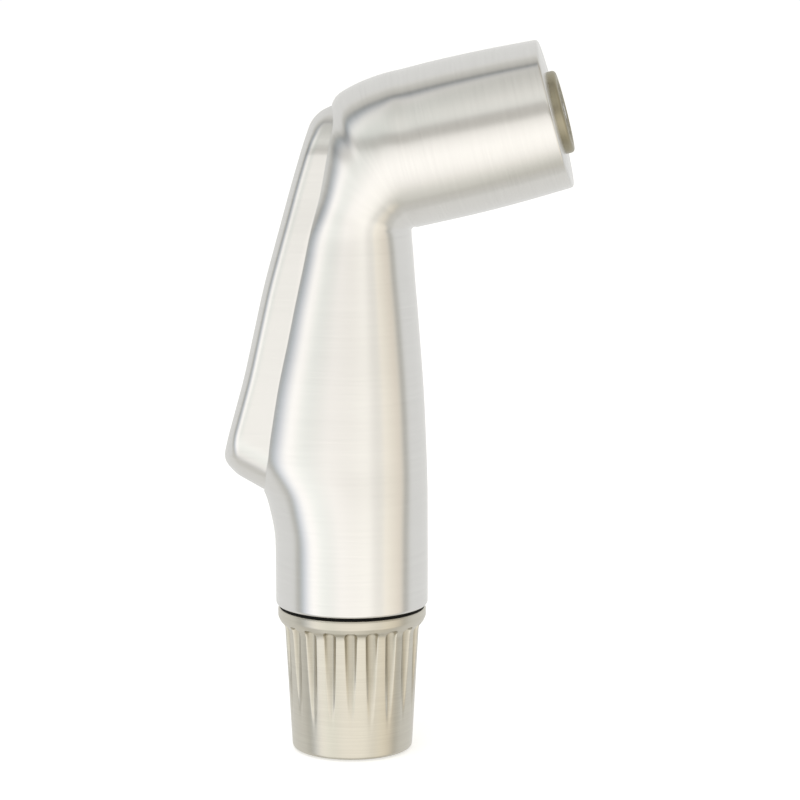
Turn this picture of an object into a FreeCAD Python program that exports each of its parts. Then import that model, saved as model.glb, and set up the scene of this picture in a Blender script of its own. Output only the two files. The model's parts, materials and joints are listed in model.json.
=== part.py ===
import FreeCAD, Part
import os
from math import sin, cos, tan, pi, radians, degrees, sqrt, atan2
V = FreeCAD.Vector
os.makedirs("parts", exist_ok=True)

# ---------------------------------------------------------------------------
# Hand spray head for a sink or pre-rinse station, millimetres.
# Frame: origin at the centre of the collar's lower mouth, where the hose goes
# in. +Z runs up the grip, +X is the way the nozzle points, the trigger lever
# is on the -X side, and the XZ plane is the plane of symmetry.
# ---------------------------------------------------------------------------

# body shell, outside
BASE_R = 16.0            # radius of the round foot of the grip
SHELL_Z0 = 30.9          # underside of the grip
WALL = 2.2               # shell wall
FOOT_EDGE_R = 0.7        # rounding of the grip's lower edge
FACE_EDGE_R = 0.6        # rounding of the head's front edge
BEND = (14.0, 109.9)     # X, Z of the centre that the bend turns about
BEND_INNER_R = 1.5       # radius of the corner under the head, where the grip ends
BEND_INNER_FALL = 0.75   # how much smaller it has become where the head starts
HEAD_TILT = 14.6         # degrees, head axis above the horizontal
FACE_BOTTOM = (45.82, 119.06)   # X, Z of the head's front face, lower edge
FACE_TOP = (38.0, 149.1)        # X, Z of the head's front face, upper edge
FACE_HALF_W = 15.5       # half width of the front face
HEAD_CROWN = 0.42        # how much the head swells between bend and face
END_WALL = 3.2           # thickness of the head's front wall
NOZZLE_HOLE_R = 7.6      # hole in the front wall

# lever slot in the back of the shell
SLOT_HALF_W = 11.2
SLOT_LOW = (-18.4, 55.15)   # X, Z of the slot's lowest point on the outside
SLOT_TOP_Z = 135.8
SLOT_LOW_R = 10.8        # its lower end is a half round seen from behind
SLOT_TOP_R = 10.2
SLOT_SLANT = 27.0        # degrees, the lower end runs inwards and down

# trigger lever
LEVER_HALF_W = 11.0
LEVER_WALL_Y = 2.4       # thickness of its side walls
LEVER_WALL_BACK = 1.8    # thickness of its back
LEVER_EDGE_R = 3.4       # rounding between its back and sides
LEVER_GAP = 0.36         # how much smaller the lever's round ends are than the slot's
LEVER_DRAFT = 0.08       # its sides lean in by this much per mm behind the grip
PIN_X, PIN_Z = -3.6, 129.0
PIN_R = 1.25
PIN_HALF_L = 7.9
BOSS_HALF_W = 6.2        # inside width of the lever at the pin, halved
EAR_Y = (3.4, 5.6)       # the pivot block's ears
PIN_CLEAR = 0.05         # radial running clearance, pin to lever
LEVER_TRAVEL_DEG = 4.0

# valve, on an axis square to the line from the pin to the button
PUSH_X, PUSH_Z = -16.8, 91.4    # where the lever meets the button
PUSH_S = -15.0                  # the same point along the valve axis
BARREL_R = 6.8
BARREL_NECK_R = 5.6
STEM_R = 1.5
STEM_CLEAR = 0.05

# inlet
THREAD_R = 10.48         # G1/2 spigot, major radius
THREAD_CLEAR = 0.05
SPIGOT_END_Z = 13.05
FLANGE_Z = (34.0, 37.0)
COUNTERBORE_R = 13.65
BOTTOM_BORE_R = 13.0

# collar
COLLAR_TOP_Z = 30.3
COLLAR_FLANGE_R = 15.6
COLLAR_R_BOTTOM = 12.65
COLLAR_R_TOP = 14.15
COLLAR_BORE_R = 8.0      # passage for the hose
COLLAR_BORE_L = 9.0
FLUTES = 20
FLUTE_R = 1.30           # round-nosed cutter
FLUTE_FLOOR_R = 13.10    # distance of the flute floor from the axis
FLUTE_PHASE = 5.0        # degrees, first flute from -Y towards +X

# nozzle
INSERT_R = 8.6
INSERT_PROUD = 2.3

# ---------------------------------------------------------------------------
# helpers
# ---------------------------------------------------------------------------

def cyl(r, h, p, d=V(0, 0, 1)):
    return Part.makeCylinder(r, h, p, d)

def tube(ro, ri, h, p, d=V(0, 0, 1)):
    return cyl(ro, h, p, d).cut(cyl(ri, h + 2, p - d * 1.0, d))

def prism_xz(points, y0, y1):
    """Closed polygon of (x, z) pushed along Y from y0 to y1."""
    vs = [V(x, y0, z) for x, z in points]
    w = Part.makePolygon(vs + [vs[0]])
    return Part.Face(w).extrude(V(0, y1 - y0, 0))

def revolve_z(points, axis_p=V(0, 0, 0)):
    """Closed polygon of (r, z) turned about the Z axis."""
    vs = [V(r, 0, z) for r, z in points]
    w = Part.makePolygon(vs + [vs[0]])
    return Part.Face(w).revolve(axis_p, V(0, 0, 1), 360)

def union(shapes):
    s = shapes[0]
    for t in shapes[1:]:
        s = s.fuse(t)
    return s.removeSplitter()

def lathe_x(points):
    """Closed polygon of (s, r) turned about the local +X axis."""
    vs = [V(s, 0, r) for s, r in points]
    w = Part.makePolygon(vs + [vs[0]])
    return Part.Face(w).revolve(V(0, 0, 0), V(1, 0, 0), 360)

def tube_x(ro, ri, s0, s1):
    return lathe_x([(s0, ri), (s1, ri), (s1, ro), (s0, ro)])

def disc_x(r, s0, s1):
    return cyl(r, s1 - s0, V(s0, 0, 0), V(1, 0, 0))

def place(shape, angle, at):
    """Turn about +Y by angle degrees, then move the local origin to at."""
    s = shape.copy()
    s.rotate(V(0, 0, 0), V(0, 1, 0), angle)
    s.translate(at)
    return s

def route(points, radii):
    """Straight runs joined by tangent arcs."""
    edges = []
    start = points[0]
    for i in range(1, len(points) - 1):
        p, q, r = points[i - 1], points[i], points[i + 1]
        d1 = (q - p).normalize()
        d2 = (r - q).normalize()
        half = d1.getAngle(d2) / 2
        t = radii[i - 1] * tan(half)
        s, e = q - d1 * t, q + d2 * t
        bis = (d2 - d1).normalize()
        mid = q + bis * (radii[i - 1] / cos(half) - radii[i - 1])
        edges.append(Part.makeLine(start, s))
        edges.append(Part.Arc(s, mid, e).toShape())
        start = e
    edges.append(Part.makeLine(start, points[-1]))
    return Part.Wire(edges)

parts = {}

def keep(name, shape):
    if shape.ShapeType == "Compound" and len(shape.Solids) == 1:
        shape = shape.Solids[0]
    bad = [s for s in shape.Solids if not s.isValid() or s.Volume <= 0]
    print("%-18s solids %d  volume %9.2f  %s" % (name, len(shape.Solids), shape.Volume,
          "BAD" if bad or not shape.Solids else "ok"))
    parts[name] = shape
    return shape

# ---------------------------------------------------------------------------
# sections of the grip and head: each has a front point, a back point and a
# widest point between them, all in the XZ plane, and a half width in Y
# ---------------------------------------------------------------------------

GRIP = [  # Z, front X, back X, X of the widest point, half width, fullness of the front
    (30.9, 16.00, -16.00, 0.0, 16.00, 2.0),
    (36.0, 16.00, -16.02, 0.0, 16.00, 2.0),
    (41.5, 16.00, -16.05, 0.0, 16.00, 2.0),
    (46.0, 15.98, -16.22, -0.1, 16.00, 2.0),
    (50.5, 15.97, -17.05, -0.45, 15.98, 2.03),
    (54.8, 15.95, -18.35, -1.0, 15.95, 2.07),
    (58.5, 15.87, -20.40, -1.8, 15.90, 2.12),
    (62.0, 15.76, -21.95, -2.4, 15.80, 2.17),
    (66.5, 15.58, -21.85, -2.5, 15.70, 2.2),
    (72.2, 15.33, -20.95, -2.3, 15.50, 2.2),
    (78.7, 14.95, -19.80, -1.9, 15.30, 2.2),
    (86.6, 14.35, -18.00, -1.3, 15.00, 2.15),
    (94.6, 13.72, -16.25, -0.7, 14.70, 2.12),
    (101.0, 13.17, -14.70, -0.15, 14.50, 2.08),
    (106.0, 12.80, -13.55, 0.35, 14.35, 2.04),
]
FAN = [  # angle about BEND, radius of the widest point, back radius, half width
    (180.0, 13.20, 26.55, 14.30),
    (170.0, 13.30, 25.30, 14.40),
    (161.6, 13.40, 24.95, 14.50),
    (154.0, 13.50, 25.40, 14.70),
    (146.9, 13.70, 26.50, 14.90),
    (140.0, 14.00, 28.20, 15.10),
    (133.8, 14.40, 29.95, 15.30),
    (129.5, 14.80, 30.60, 15.42),
    (126.0, 15.20, 31.05, 15.52),
    (122.5, 15.60, 32.20, 15.62),
    (118.0, 16.10, 32.68, 15.74),
    (113.7, 16.50, 32.78, 15.84),
    (109.0, 16.80, 32.90, 15.92),
    (90.0 + HEAD_TILT, 17.10, 33.02, 16.00),
]

def lerp(a, b, u):
    return (a[0] + (b[0] - a[0]) * u, a[1] + (b[1] - a[1]) * u)

def towards(p, q, d):
    """p moved towards q by d."""
    n = sqrt((q[0] - p[0]) ** 2 + (q[1] - p[1]) ** 2)
    return (p[0] + (q[0] - p[0]) * d / n, p[1] + (q[1] - p[1]) * d / n)

def body_sections(off, head_end=0.0, z0=None, round_face=False):
    """Sections, each (front, widest, back, half width, front fullness), offset inwards by off."""
    out = []
    for z, xf, xb, xc, b, e in GRIP:
        if z0 is not None and z < z0:
            continue
        out.append(((xf, z), (xc, z), (xb, z), b, e))
    for ang, rc, rb, b in FAN:
        c, s = cos(radians(ang)), sin(radians(ang))
        pt = lambda r: (BEND[0] + r * c, BEND[1] + r * s)
        ri = BEND_INNER_R - BEND_INNER_FALL * (180.0 - ang) / (90.0 - HEAD_TILT)
        out.append((pt(ri), pt(rc), pt(rb), b, 2.0))
    f0, c0, b0, w0, e0 = out[-1]
    fc = lerp(FACE_BOTTOM, FACE_TOP, 0.5)
    nx, nz = cos(radians(90 + HEAD_TILT)), sin(radians(90 + HEAD_TILT))
    length = sqrt((FACE_BOTTOM[0] - f0[0]) ** 2 + (FACE_BOTTOM[1] - f0[1]) ** 2)
    span = length - head_end
    r = FACE_EDGE_R if round_face else 0.0
    steps = [0.12, 0.25, 0.45, 0.65, 0.80, 1.0 - 3.2 * r / span, 1.0 - 2.0 * r / span] if r else [0.12, 0.25, 0.5, 0.75, 1.0]
    if r:
        steps += [1.0 - k * r / span for k in (1.45, 1.0, 0.72, 0.48, 0.28, 0.12, 0.03, 0.0)]
    for step in steps:
        u = step * span / length
        g = HEAD_CROWN * sin(pi * u)
        f = lerp(f0, FACE_BOTTOM, u)
        b = lerp(b0, FACE_TOP, u)
        c = lerp(c0, fc, u)
        w = w0 + (FACE_HALF_W - w0) * u + g
        d = (1.0 - step) * span          # distance behind the face
        k = r - sqrt(max(r * r - (r - d) ** 2, 0.0)) if d < r else 0.0
        out.append(((f[0] - nx * (g - k), f[1] - nz * (g - k)), c, (b[0] + nx * (g - k), b[1] + nz * (g - k)), w - k, 2.0))
    f, c, b, w, e = out[-1]          # the last section is flat
    dx, dz = b[0] - f[0], b[1] - f[1]
    u = ((c[0] - f[0]) * dx + (c[1] - f[1]) * dz) / (dx * dx + dz * dz)
    out[-1] = (f, (f[0] + dx * u, f[1] + dz * u), b, w, e)
    if off:
        out = [(towards(f, c, off), c, towards(b, c, off), w - off, e) for f, c, b, w, e in out]
    return out

def section_points(sec, n=32):
    f, c, b, w, e = sec
    pts = []
    for k in range(n):
        a = 2 * pi * k / n
        q = f if cos(a) >= 0 else b
        t = abs(cos(a)) ** (2.0 / e) if cos(a) >= 0 else abs(cos(a))
        pts.append(V(c[0] + (q[0] - c[0]) * t, w * sin(a), c[1] + (q[1] - c[1]) * t))
    return pts

def skin(rows):
    """Closed solid whose side is one smooth surface through every ring of points."""
    n = len(rows[0])
    v = [0.0]
    for r0, r1 in zip(rows, rows[1:]):
        v.append(v[-1] + sum((p - q).Length for p, q in zip(r0, r1)) / n)
    lines = []
    for i in range(n):
        c = Part.BSplineCurve()
        c.interpolate(Points=[r[i] for r in rows], Parameters=v)
        lines.append(c)
    u = [0.0]
    for i in range(n):
        u.append(u[-1] + sum((r[i] - r[(i + 1) % n]).Length for r in rows) / len(rows))
    rings = []
    for j in range(lines[0].NbPoles):
        c = Part.BSplineCurve()
        c.interpolate(Points=[l.getPole(j + 1) for l in lines], PeriodicFlag=True, Parameters=u)
        rings.append(c)
    poles = [[ring.getPole(i + 1) for ring in rings] for i in range(rings[0].NbPoles)]
    surf = Part.BSplineSurface()
    surf.buildFromPolesMultsKnots(poles, rings[0].getMultiplicities(), lines[0].getMultiplicities(),
                                  rings[0].getKnots(), lines[0].getKnots(), True, False,
                                  rings[0].Degree, lines[0].Degree)
    surf.setUNotPeriodic()
    faces = [surf.toShape()]
    for p in (v[0], v[-1]):
        faces.append(Part.Face(Part.Wire(surf.vIso(p).toShape())))
    shell = Part.makeShell(faces)
    shell.sewShape()
    solid = Part.makeSolid(shell)
    if solid.Volume < 0:
        solid.reverse()
    return solid

def body_solid(off, head_end=0.0, z0=None, round_face=False):
    return skin([section_points(sec) for sec in body_sections(off, head_end, z0, round_face)])

# head axis frame
FACE_C = V((FACE_BOTTOM[0] + FACE_TOP[0]) / 2, 0, (FACE_BOTTOM[1] + FACE_TOP[1]) / 2)
HEAD_D = V(cos(radians(HEAD_TILT)), 0, sin(radians(HEAD_TILT)))

def on_head(shape):
    return place(shape, -HEAD_TILT, FACE_C)

# valve axis frame
_dx, _dz = PUSH_X - PIN_X, PUSH_Z - PIN_Z
PUSH_ARM = sqrt(_dx ** 2 + _dz ** 2)
VALVE_D = V(-_dz / PUSH_ARM, 0, _dx / PUSH_ARM)
VALVE_TILT = degrees(atan2(-VALVE_D.z, VALVE_D.x))
VALVE_C = V(PUSH_X, 0, PUSH_Z) - VALVE_D * PUSH_S

def on_valve(shape):
    return place(shape, VALVE_TILT, VALVE_C)

print("push arm %.3f mm, valve tilt %.3f deg, axis %.5f %.5f, travel %.3f mm" % (
    PUSH_ARM, VALVE_TILT, VALVE_D.x, VALVE_D.z, PUSH_ARM * radians(LEVER_TRAVEL_DEG)))

# ---------------------------------------------------------------------------
# lever slot: a long window with round ends, seen from behind. Its lower end is
# swept inwards and down so that the lever's nose can swing in over its edge.
# ---------------------------------------------------------------------------

def window(half_w, low, low_r, top_z, top_r, x0, x1):
    """Rounded window pushed through from x0 to x1; low is (X, Z) of its lowest point."""
    d = tan(radians(SLOT_SLANT))
    zl = lambda x, h: h - (x - low[0]) * d
    k = sqrt(0.5)
    def ring(x, z_low, r_low, z_top, r_top):
        zc, zt = z_low + r_low, z_top - r_top
        e = half_w - r_low
        f = half_w - r_top
        a, b = V(x, -half_w, zc), V(x, half_w, zc)
        c, g = V(x, half_w, zt), V(x, -half_w, zt)
        edges = [Part.Arc(a, V(x, -e - r_low * k, zc - r_low * k), V(x, -e, z_low)).toShape(),
                 Part.makeLine(V(x, -e, z_low), V(x, e, z_low)),
                 Part.Arc(V(x, e, z_low), V(x, e + r_low * k, zc - r_low * k), b).toShape(),
                 Part.makeLine(b, c),
                 Part.Arc(c, V(x, f + r_top * k, zt + r_top * k), V(x, f, z_top)).toShape(),
                 Part.makeLine(V(x, f, z_top), V(x, -f, z_top)),
                 Part.Arc(V(x, -f, z_top), V(x, -f - r_top * k, zt + r_top * k), g).toShape(),
                 Part.makeLine(g, a)]
        return Part.Face(Part.Wire(edges))
    lower = ring(x0, zl(x0, low[1]), low_r, 190.0, top_r).extrude(V(x1 - x0, 0, -(x1 - x0) * d))
    upper = ring(x0, 10.0, low_r, top_z, top_r).extrude(V(x1 - x0, 0, 0))
    return lower.common(upper)

SLOT_DEPTH = [(-60.0, 10.0), (-12.0, 10.0), (-9.0, 49.0), (-5.0, 60.0), (-3.0, 80.0), (-1.5, 100.0), (0.5, 118.0),
              (3.0, 130.0), (3.0, 160.0), (-60.0, 160.0)]
slot = window(SLOT_HALF_W, SLOT_LOW, SLOT_LOW_R, SLOT_TOP_Z, SLOT_TOP_R, -41.0, 4.0).common(
    prism_xz(SLOT_DEPTH, -12, 12))

# body shell -----------------------------------------------------------------
outer = body_solid(0.0, round_face=True)
def round_end(solid, r, pick):
    try:
        edges = [e for e in solid.Edges if pick(e)]
        s = solid.makeFillet(r, edges)
        if s.isValid() and s.Volume > 0.9 * solid.Volume:
            return s
    except Exception as exc:
        print("edge kept sharp:", exc)
    return solid
outer = round_end(outer, FOOT_EDGE_R, lambda e: all(abs(v.Z - SHELL_Z0) < 0.05 for v in e.Vertexes) and e.Length > 20)
inner = body_solid(WALL, head_end=END_WALL, z0=40.0)
shell = outer.cut(inner)
shell = shell.cut(cyl(BOTTOM_BORE_R, 12.0, V(0, 0, 30.0)))
shell = shell.cut(cyl(COUNTERBORE_R, 6.1 + 1.0, V(0, 0, SHELL_Z0 - 1.0)))
shell = shell.cut(slot)
shell = shell.cut(on_head(disc_x(NOZZLE_HOLE_R, -6.0, 3.0)))
keep("body_shell", shell)

# trigger lever --------------------------------------------------------------
LEVER_BACK = [(-3.9, 135.55), (-7.25, 134.2), (-11.6, 119.6), (-17.35, 98.8), (-21.55, 79.8),
              (-27.05, 60.0), (-18.45, 55.3)]       # X, Z corners down the back
LEVER_BACK_R = [6.0, 180.0, 150.0, 120.0, 4.8]       # radius at each corner
LEVER_FRONT = [(-15.6, 53.90), (-12.7, 60.0), (-11.6, 70.0), (-9.2, 84.0), (-6.8, 98.0), (-4.2, 108.0),
               (-2.0, 116.0), (-0.8, 124.0), (-0.8, 134.60)]

def inset(points, d):
    """Open polyline moved by d towards the front of the lever."""
    out = []
    for i, (x, z) in enumerate(points):
        n = []
        for j in (i - 1, i):
            if 0 <= j < len(points) - 1:
                tx, tz = points[j + 1][0] - points[j][0], points[j + 1][1] - points[j][1]
                m = sqrt(tx * tx + tz * tz)
                n.append((-tz / m, tx / m))
        if len(n) == 1:
            out.append((x + n[0][0] * d, z + n[0][1] * d))
        else:
            k = d / (1 + n[0][0] * n[1][0] + n[0][1] * n[1][1])
            out.append((x + (n[0][0] + n[1][0]) * k, z + (n[0][1] + n[1][1]) * k))
    return out

def lever_outline(d, front, y):
    """Closed outline in the plane Y=y: the rounded back moved in by d, then front."""
    back = route([V(x, y, z) for x, z in inset(LEVER_BACK, d)], [max(r - d, 0.8) for r in LEVER_BACK_R])
    p0, p1 = back.Vertexes[0].Point, back.Vertexes[-1].Point
    pts = [p1] + [V(x, y, z) for x, z in front] + [p0]
    return Part.Wire(back.Edges + [Part.makeLine(a, b) for a, b in zip(pts, pts[1:])])

def rounded(points, radii, step=0.2):
    """Points (x, z) along a polyline whose corners are tangent arcs."""
    out = [points[0]]
    for i in range(1, len(points) - 1):
        p, q, t = points[i - 1], points[i], points[i + 1]
        n1, n2 = sqrt((q[0] - p[0]) ** 2 + (q[1] - p[1]) ** 2), sqrt((t[0] - q[0]) ** 2 + (t[1] - q[1]) ** 2)
        d1 = ((q[0] - p[0]) / n1, (q[1] - p[1]) / n1)
        d2 = ((t[0] - q[0]) / n2, (t[1] - q[1]) / n2)
        turn = atan2(d1[0] * d2[1] - d1[1] * d2[0], d1[0] * d2[0] + d1[1] * d2[1])
        r = radii[i - 1]
        tl = r * tan(abs(turn) / 2)
        sx, sz = q[0] - d1[0] * tl, q[1] - d1[1] * tl
        side = 1.0 if turn > 0 else -1.0
        cx, cz = sx - d1[1] * r * side, sz + d1[0] * r * side
        m = max(3, int(r * abs(turn) / step))
        for k in range(m + 1):
            a = turn * k / m
            vx, vz = sx - cx, sz - cz
            out.append((cx + vx * cos(a) - vz * sin(a), cz + vx * sin(a) + vz * cos(a)))
    out.append(points[-1])
    return out

def x_at(line, z):
    """X where a line that falls steadily in Z reaches height z."""
    for (x0, z0), (x1, z1) in zip(line, line[1:]):
        if z0 >= z >= z1 and z0 > z1:
            return x0 + (x1 - x0) * (z0 - z) / (z0 - z1)
    return line[-1][0] if z < line[-1][1] else line[0][0]

LEVER_LINE = rounded(LEVER_BACK + [(-14.5, 53.33)], LEVER_BACK_R + [0.5])
LEVER_Z = [135.45, 135.30, 135.05, 134.70, 134.25, 133.65, 132.90, 132.00, 131.00, 129.60, 127.5, 124.5, 121.0,
           117.0, 112.0, 106.0, 99.0, 92.0, 85.0, 78.0, 72.0, 68.0, 65.5, 64.0, 62.9, 61.9, 61.0, 60.2, 59.5, 58.8,
           58.1, 57.4, 56.8, 56.3, 55.85, 55.5]

LEVER_LOW = (SLOT_LOW[0], SLOT_LOW[1] + 0.30)
LEVER_TOP_Z = SLOT_TOP_Z - 0.3

SEAM = [(-2.7, 134.0), (-3.0, 127.8), (-3.6, 124.9), (-5.3, 116.3), (-7.8, 110.0), (-9.0, 105.2), (-10.3, 97.4),
        (-12.35, 86.6), (-14.0, 78.7), (-15.0, 72.2), (-15.9, 66.0), (-16.3, 61.0), (-17.5, 55.0)]   # X, Z where its sides leave the grip

def lever_half_width(x, z):
    """Half width of the lever's outline at a point of its side view."""
    h = z + (x - LEVER_LOW[0]) * tan(radians(SLOT_SLANT))
    rl, rt = SLOT_LOW_R - LEVER_GAP, SLOT_TOP_R - LEVER_GAP
    w = LEVER_HALF_W
    d = LEVER_LOW[1] + rl - h
    if d > 0:
        w = min(w, LEVER_HALF_W - rl + sqrt(max(rl * rl - d * d, 0.04)))
    d = z - (LEVER_TOP_Z - rt)
    if d > 0:
        w = min(w, LEVER_HALF_W - rt + sqrt(max(rt * rt - d * d, 0.04)))
    return w - LEVER_DRAFT * max(0.0, x_at(SEAM, z) - x)

def lever_ring(z):
    xb = x_at(LEVER_LINE, z)
    xf = x_at([(x, h) for x, h in reversed(LEVER_FRONT)], z) if z < 134.4 else -0.8 - (z - 134.4) * 2.5
    r = min(LEVER_EDGE_R, 0.45 * (xf - xb), 0.9 * lever_half_width(xb, z))
    rf = min(0.6, 0.2 * (xf - xb))
    hf = lever_half_width(xf, z)
    half = [(xf, 0.0), (xf, 0.45 * (hf - rf)), (xf, 0.85 * (hf - rf))]
    half += [(xf - rf + rf * sin(radians(a)), hf - rf + rf * cos(radians(a))) for a in (90, 45, 0)]
    x0, x1 = xf - rf, xb + r
    half += [(x0 + (x1 - x0) * t, lever_half_width(x0 + (x1 - x0) * t, z)) for t in (0.1, 0.22, 0.36, 0.5, 0.64, 0.78, 0.9)]
    for a in (0, 15, 30, 45, 60, 75, 90):
        x = xb + r - r * sin(radians(a))
        half.append((x, lever_half_width(x, z) - r + r * cos(radians(a))))
    yb = half[-1][1]
    half += [(xb, yb * t) for t in (0.85, 0.45, 0.0)]
    return [V(x, y, z) for x, y in half] + [V(x, -y, z) for x, y in reversed(half[1:-1])]

lever = skin([lever_ring(z) for z in reversed(LEVER_Z)])
# hollow from the front: the inside follows the outside at the wall's thickness
hollow = Part.Face(lever_outline(LEVER_WALL_BACK, [(-6.0, 48.0), (6.0, 60.0), (6.0, 133.0)], -(LEVER_HALF_W - LEVER_WALL_Y))).extrude(
    V(0, 2 * (LEVER_HALF_W - LEVER_WALL_Y), 0))
hollow = hollow.common(window(LEVER_HALF_W - LEVER_WALL_Y, (LEVER_LOW[0], LEVER_LOW[1] + 1.6), SLOT_LOW_R - LEVER_GAP - LEVER_WALL_Y,
                              LEVER_TOP_Z - LEVER_WALL_BACK, SLOT_TOP_R - LEVER_GAP - LEVER_WALL_Y, -41.0, 12.0))
hollow = hollow.cut(Part.makeBox(30, 10, 20, V(-20, BOSS_HALF_W, 126.3))).cut(Part.makeBox(30, 10, 20, V(-20, -BOSS_HALF_W - 10, 126.3)))
post = on_valve(disc_x(3.2, -22.0, PUSH_S - 0.2))
pad = post.common(lever)
lever = lever.cut(hollow).fuse(pad)
lever = lever.cut(cyl(PIN_R + PIN_CLEAR, 2 * (PIN_HALF_L + 0.1), V(PIN_X, -PIN_HALF_L - 0.1, PIN_Z), V(0, 1, 0)))
keep("trigger_lever", lever)

# lever pin ------------------------------------------------------------------
keep("lever_pin", cyl(PIN_R, 2 * PIN_HALF_L, V(PIN_X, -PIN_HALF_L, PIN_Z), V(0, 1, 0)))

# ---------------------------------------------------------------------------
# riser path: socket in the waterway -> bend -> head axis
# ---------------------------------------------------------------------------
RISER_R, RISER_BORE_R = 4.2, 2.8
out_c = VALVE_C + VALVE_D * (-4.3)
RISER_X = out_c.x + 0.7
RISER_Z0 = 95.6
ra = V(RISER_X, 0, RISER_Z0)
rb = V(RISER_X, 0, 105.5)
rc = FACE_C + HEAD_D * (-37.6)
rd = FACE_C + HEAD_D * (-12.1)

def swept(path, r, at, d):
    prof = Part.Wire(Part.makeCircle(r, at, d))
    return path.makePipeShell([prof], True, False)

riser_path = route([ra, rb, rc, rd], [9.0, 14.0])
riser_solid = swept(riser_path, RISER_R, ra, V(0, 0, 1))
riser_bore = swept(riser_path, RISER_BORE_R, ra, V(0, 0, 1))
riser = riser_solid.cut(riser_bore)
ORING_W = 1.3
for p, d in ((V(RISER_X, 0, 97.4), V(0, 0, 1)), (FACE_C + HEAD_D * (-15.0), HEAD_D)):
    riser = riser.cut(tube(RISER_R + 1, RISER_R - 0.75, ORING_W, p, d))
keep("riser_tube", riser)

def oring(r_mid, r_cs, p, d):
    return Part.makeTorus(r_mid, r_cs, p, d)

keep("riser_lower_oring", oring(RISER_R - 0.36, 0.38, V(RISER_X, 0, 97.4 + ORING_W / 2), V(0, 0, 1)))
keep("riser_upper_oring", oring(RISER_R - 0.36, 0.38, FACE_C + HEAD_D * (-15.0 + ORING_W / 2), HEAD_D))

# pivot block: holds the pin between two ears and clips round the riser -------
block = prism_xz([(0.7, 133.0), (9.0, 133.0), (12.0, 130.5), (12.0, 121.6), (5.5, 117.6), (1.6, 117.6), (0.7, 120.0)], -7.2, 7.2)
ears = prism_xz([(-5.9, 127.4), (-5.9, 130.2), (-5.2, 130.8), (0.4, 131.0), (1.2, 132.2), (3.0, 132.2), (3.0, 119.5), (0.7, 120.0), (-2.4, 124.0)],
                -EAR_Y[1], EAR_Y[1])
block = block.fuse(ears)
block = block.cut(Part.makeBox(7.6, 2 * EAR_Y[0], 30, V(-7.0, -EAR_Y[0], 110)))
block = block.cut(swept(riser_path, RISER_R + 0.02, ra, V(0, 0, 1)))
block = block.cut(cyl(PIN_R + 0.01, 20, V(PIN_X, -10, PIN_Z), V(0, 1, 0)))
keep("pivot_block", block)

# waterway: spigot, flange, tube, valve barrel and riser socket ---------------
TUBE_X = 1.0
barrel = disc_x(BARREL_R, -7.0, 10.5).fuse(disc_x(BARREL_NECK_R, -10.0, -7.0))
barrel = on_valve(barrel)
ww = [cyl(THREAD_R, FLANGE_Z[0] - SPIGOT_END_Z, V(0, 0, SPIGOT_END_Z)),
      cyl(COUNTERBORE_R - 0.05, FLANGE_Z[1] - FLANGE_Z[0], V(0, 0, FLANGE_Z[0])),
      cyl(5.0, 84.0 - FLANGE_Z[1], V(TUBE_X, 0, FLANGE_Z[1])),
      barrel,
      cyl(5.4, 13.0, V(RISER_X, 0, 88.0))]
for a in (0, 90, -90):
    fin = Part.makeBox(11.6, 1.6, 11.0, V(1.0, -0.8, FLANGE_Z[1]))
    fin.rotate(V(0, 0, 0), V(0, 0, 1), a)
    ww.append(fin)
water = union(ww)
cuts = [cyl(6.0, 22.0 - SPIGOT_END_Z + 1, V(0, 0, SPIGOT_END_Z - 1)),
        cyl(3.0, 85.0 - 21.0, V(TUBE_X, 0, 21.0)),
        on_valve(disc_x(4.8, -2.0, 11.0)),
        on_valve(disc_x(4.0, -7.0, -1.9)),
        on_valve(disc_x(4.4, -11.0, -6.8)),
        cyl(2.8, 8.0, V(RISER_X, 0, 88.6)),
        cyl(RISER_R + 0.04, 8.0, V(RISER_X, 0, RISER_Z0 - 0.05))]
for c in cuts:
    water = water.cut(c)
keep("waterway", water)

# valve train, on the valve axis ----------------------------------------------
keep("valve_seat", on_valve(tube_x(4.79, 2.6, -2.0, -0.5)))
guide = lathe_x([(-9.9, 1.55), (-9.1, 1.55), (-9.1, 2.7), (-7.7, 2.7), (-7.7, 1.55), (-6.8, 1.55), (-6.8, 4.38),
                 (-7.8, 4.38), (-7.8, 3.5), (-8.8, 3.5), (-8.8, 4.38), (-9.9, 4.38)])
keep("stem_guide", on_valve(guide))
keep("stem_oring", on_valve(Part.makeTorus(2.11, 0.57, V(-8.4, 0, 0), V(1, 0, 0))))
keep("guide_oring", on_valve(Part.makeTorus(3.94, 0.42, V(-8.3, 0, 0), V(1, 0, 0))))
stem = lathe_x([(-14.2, 0), (-14.2, STEM_R), (1.1, STEM_R), (1.1, 3.6), (1.9, 3.6), (1.9, 2.0), (2.6, 2.0), (2.6, 0)])
keep("valve_stem", on_valve(stem))
keep("seat_washer", on_valve(tube_x(3.7, 1.52, -0.49, 1.09)))
keep("washer_clip", on_valve(tube_x(2.3, 1.52, -1.1, -0.51)))
button = lathe_x([(-15.0, 0), (-15.0, 1.6), (-14.85, 2.2), (-14.5, 2.6), (-13.6, 2.6), (-13.6, 1.52), (-14.22, 1.52), (-14.22, 0)])
keep("stem_button", on_valve(button))
cap = lathe_x([(7.5, 0), (7.5, 4.78), (8.4, 4.78), (8.4, 3.9), (9.4, 3.9), (9.4, 4.78), (10.4, 4.78), (10.4, 1.6), (9.6, 1.2), (9.6, 0)])
keep("valve_cap", on_valve(cap))
keep("cap_oring", on_valve(Part.makeTorus(4.34, 0.43, V(8.9, 0, 0), V(1, 0, 0))))

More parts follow.
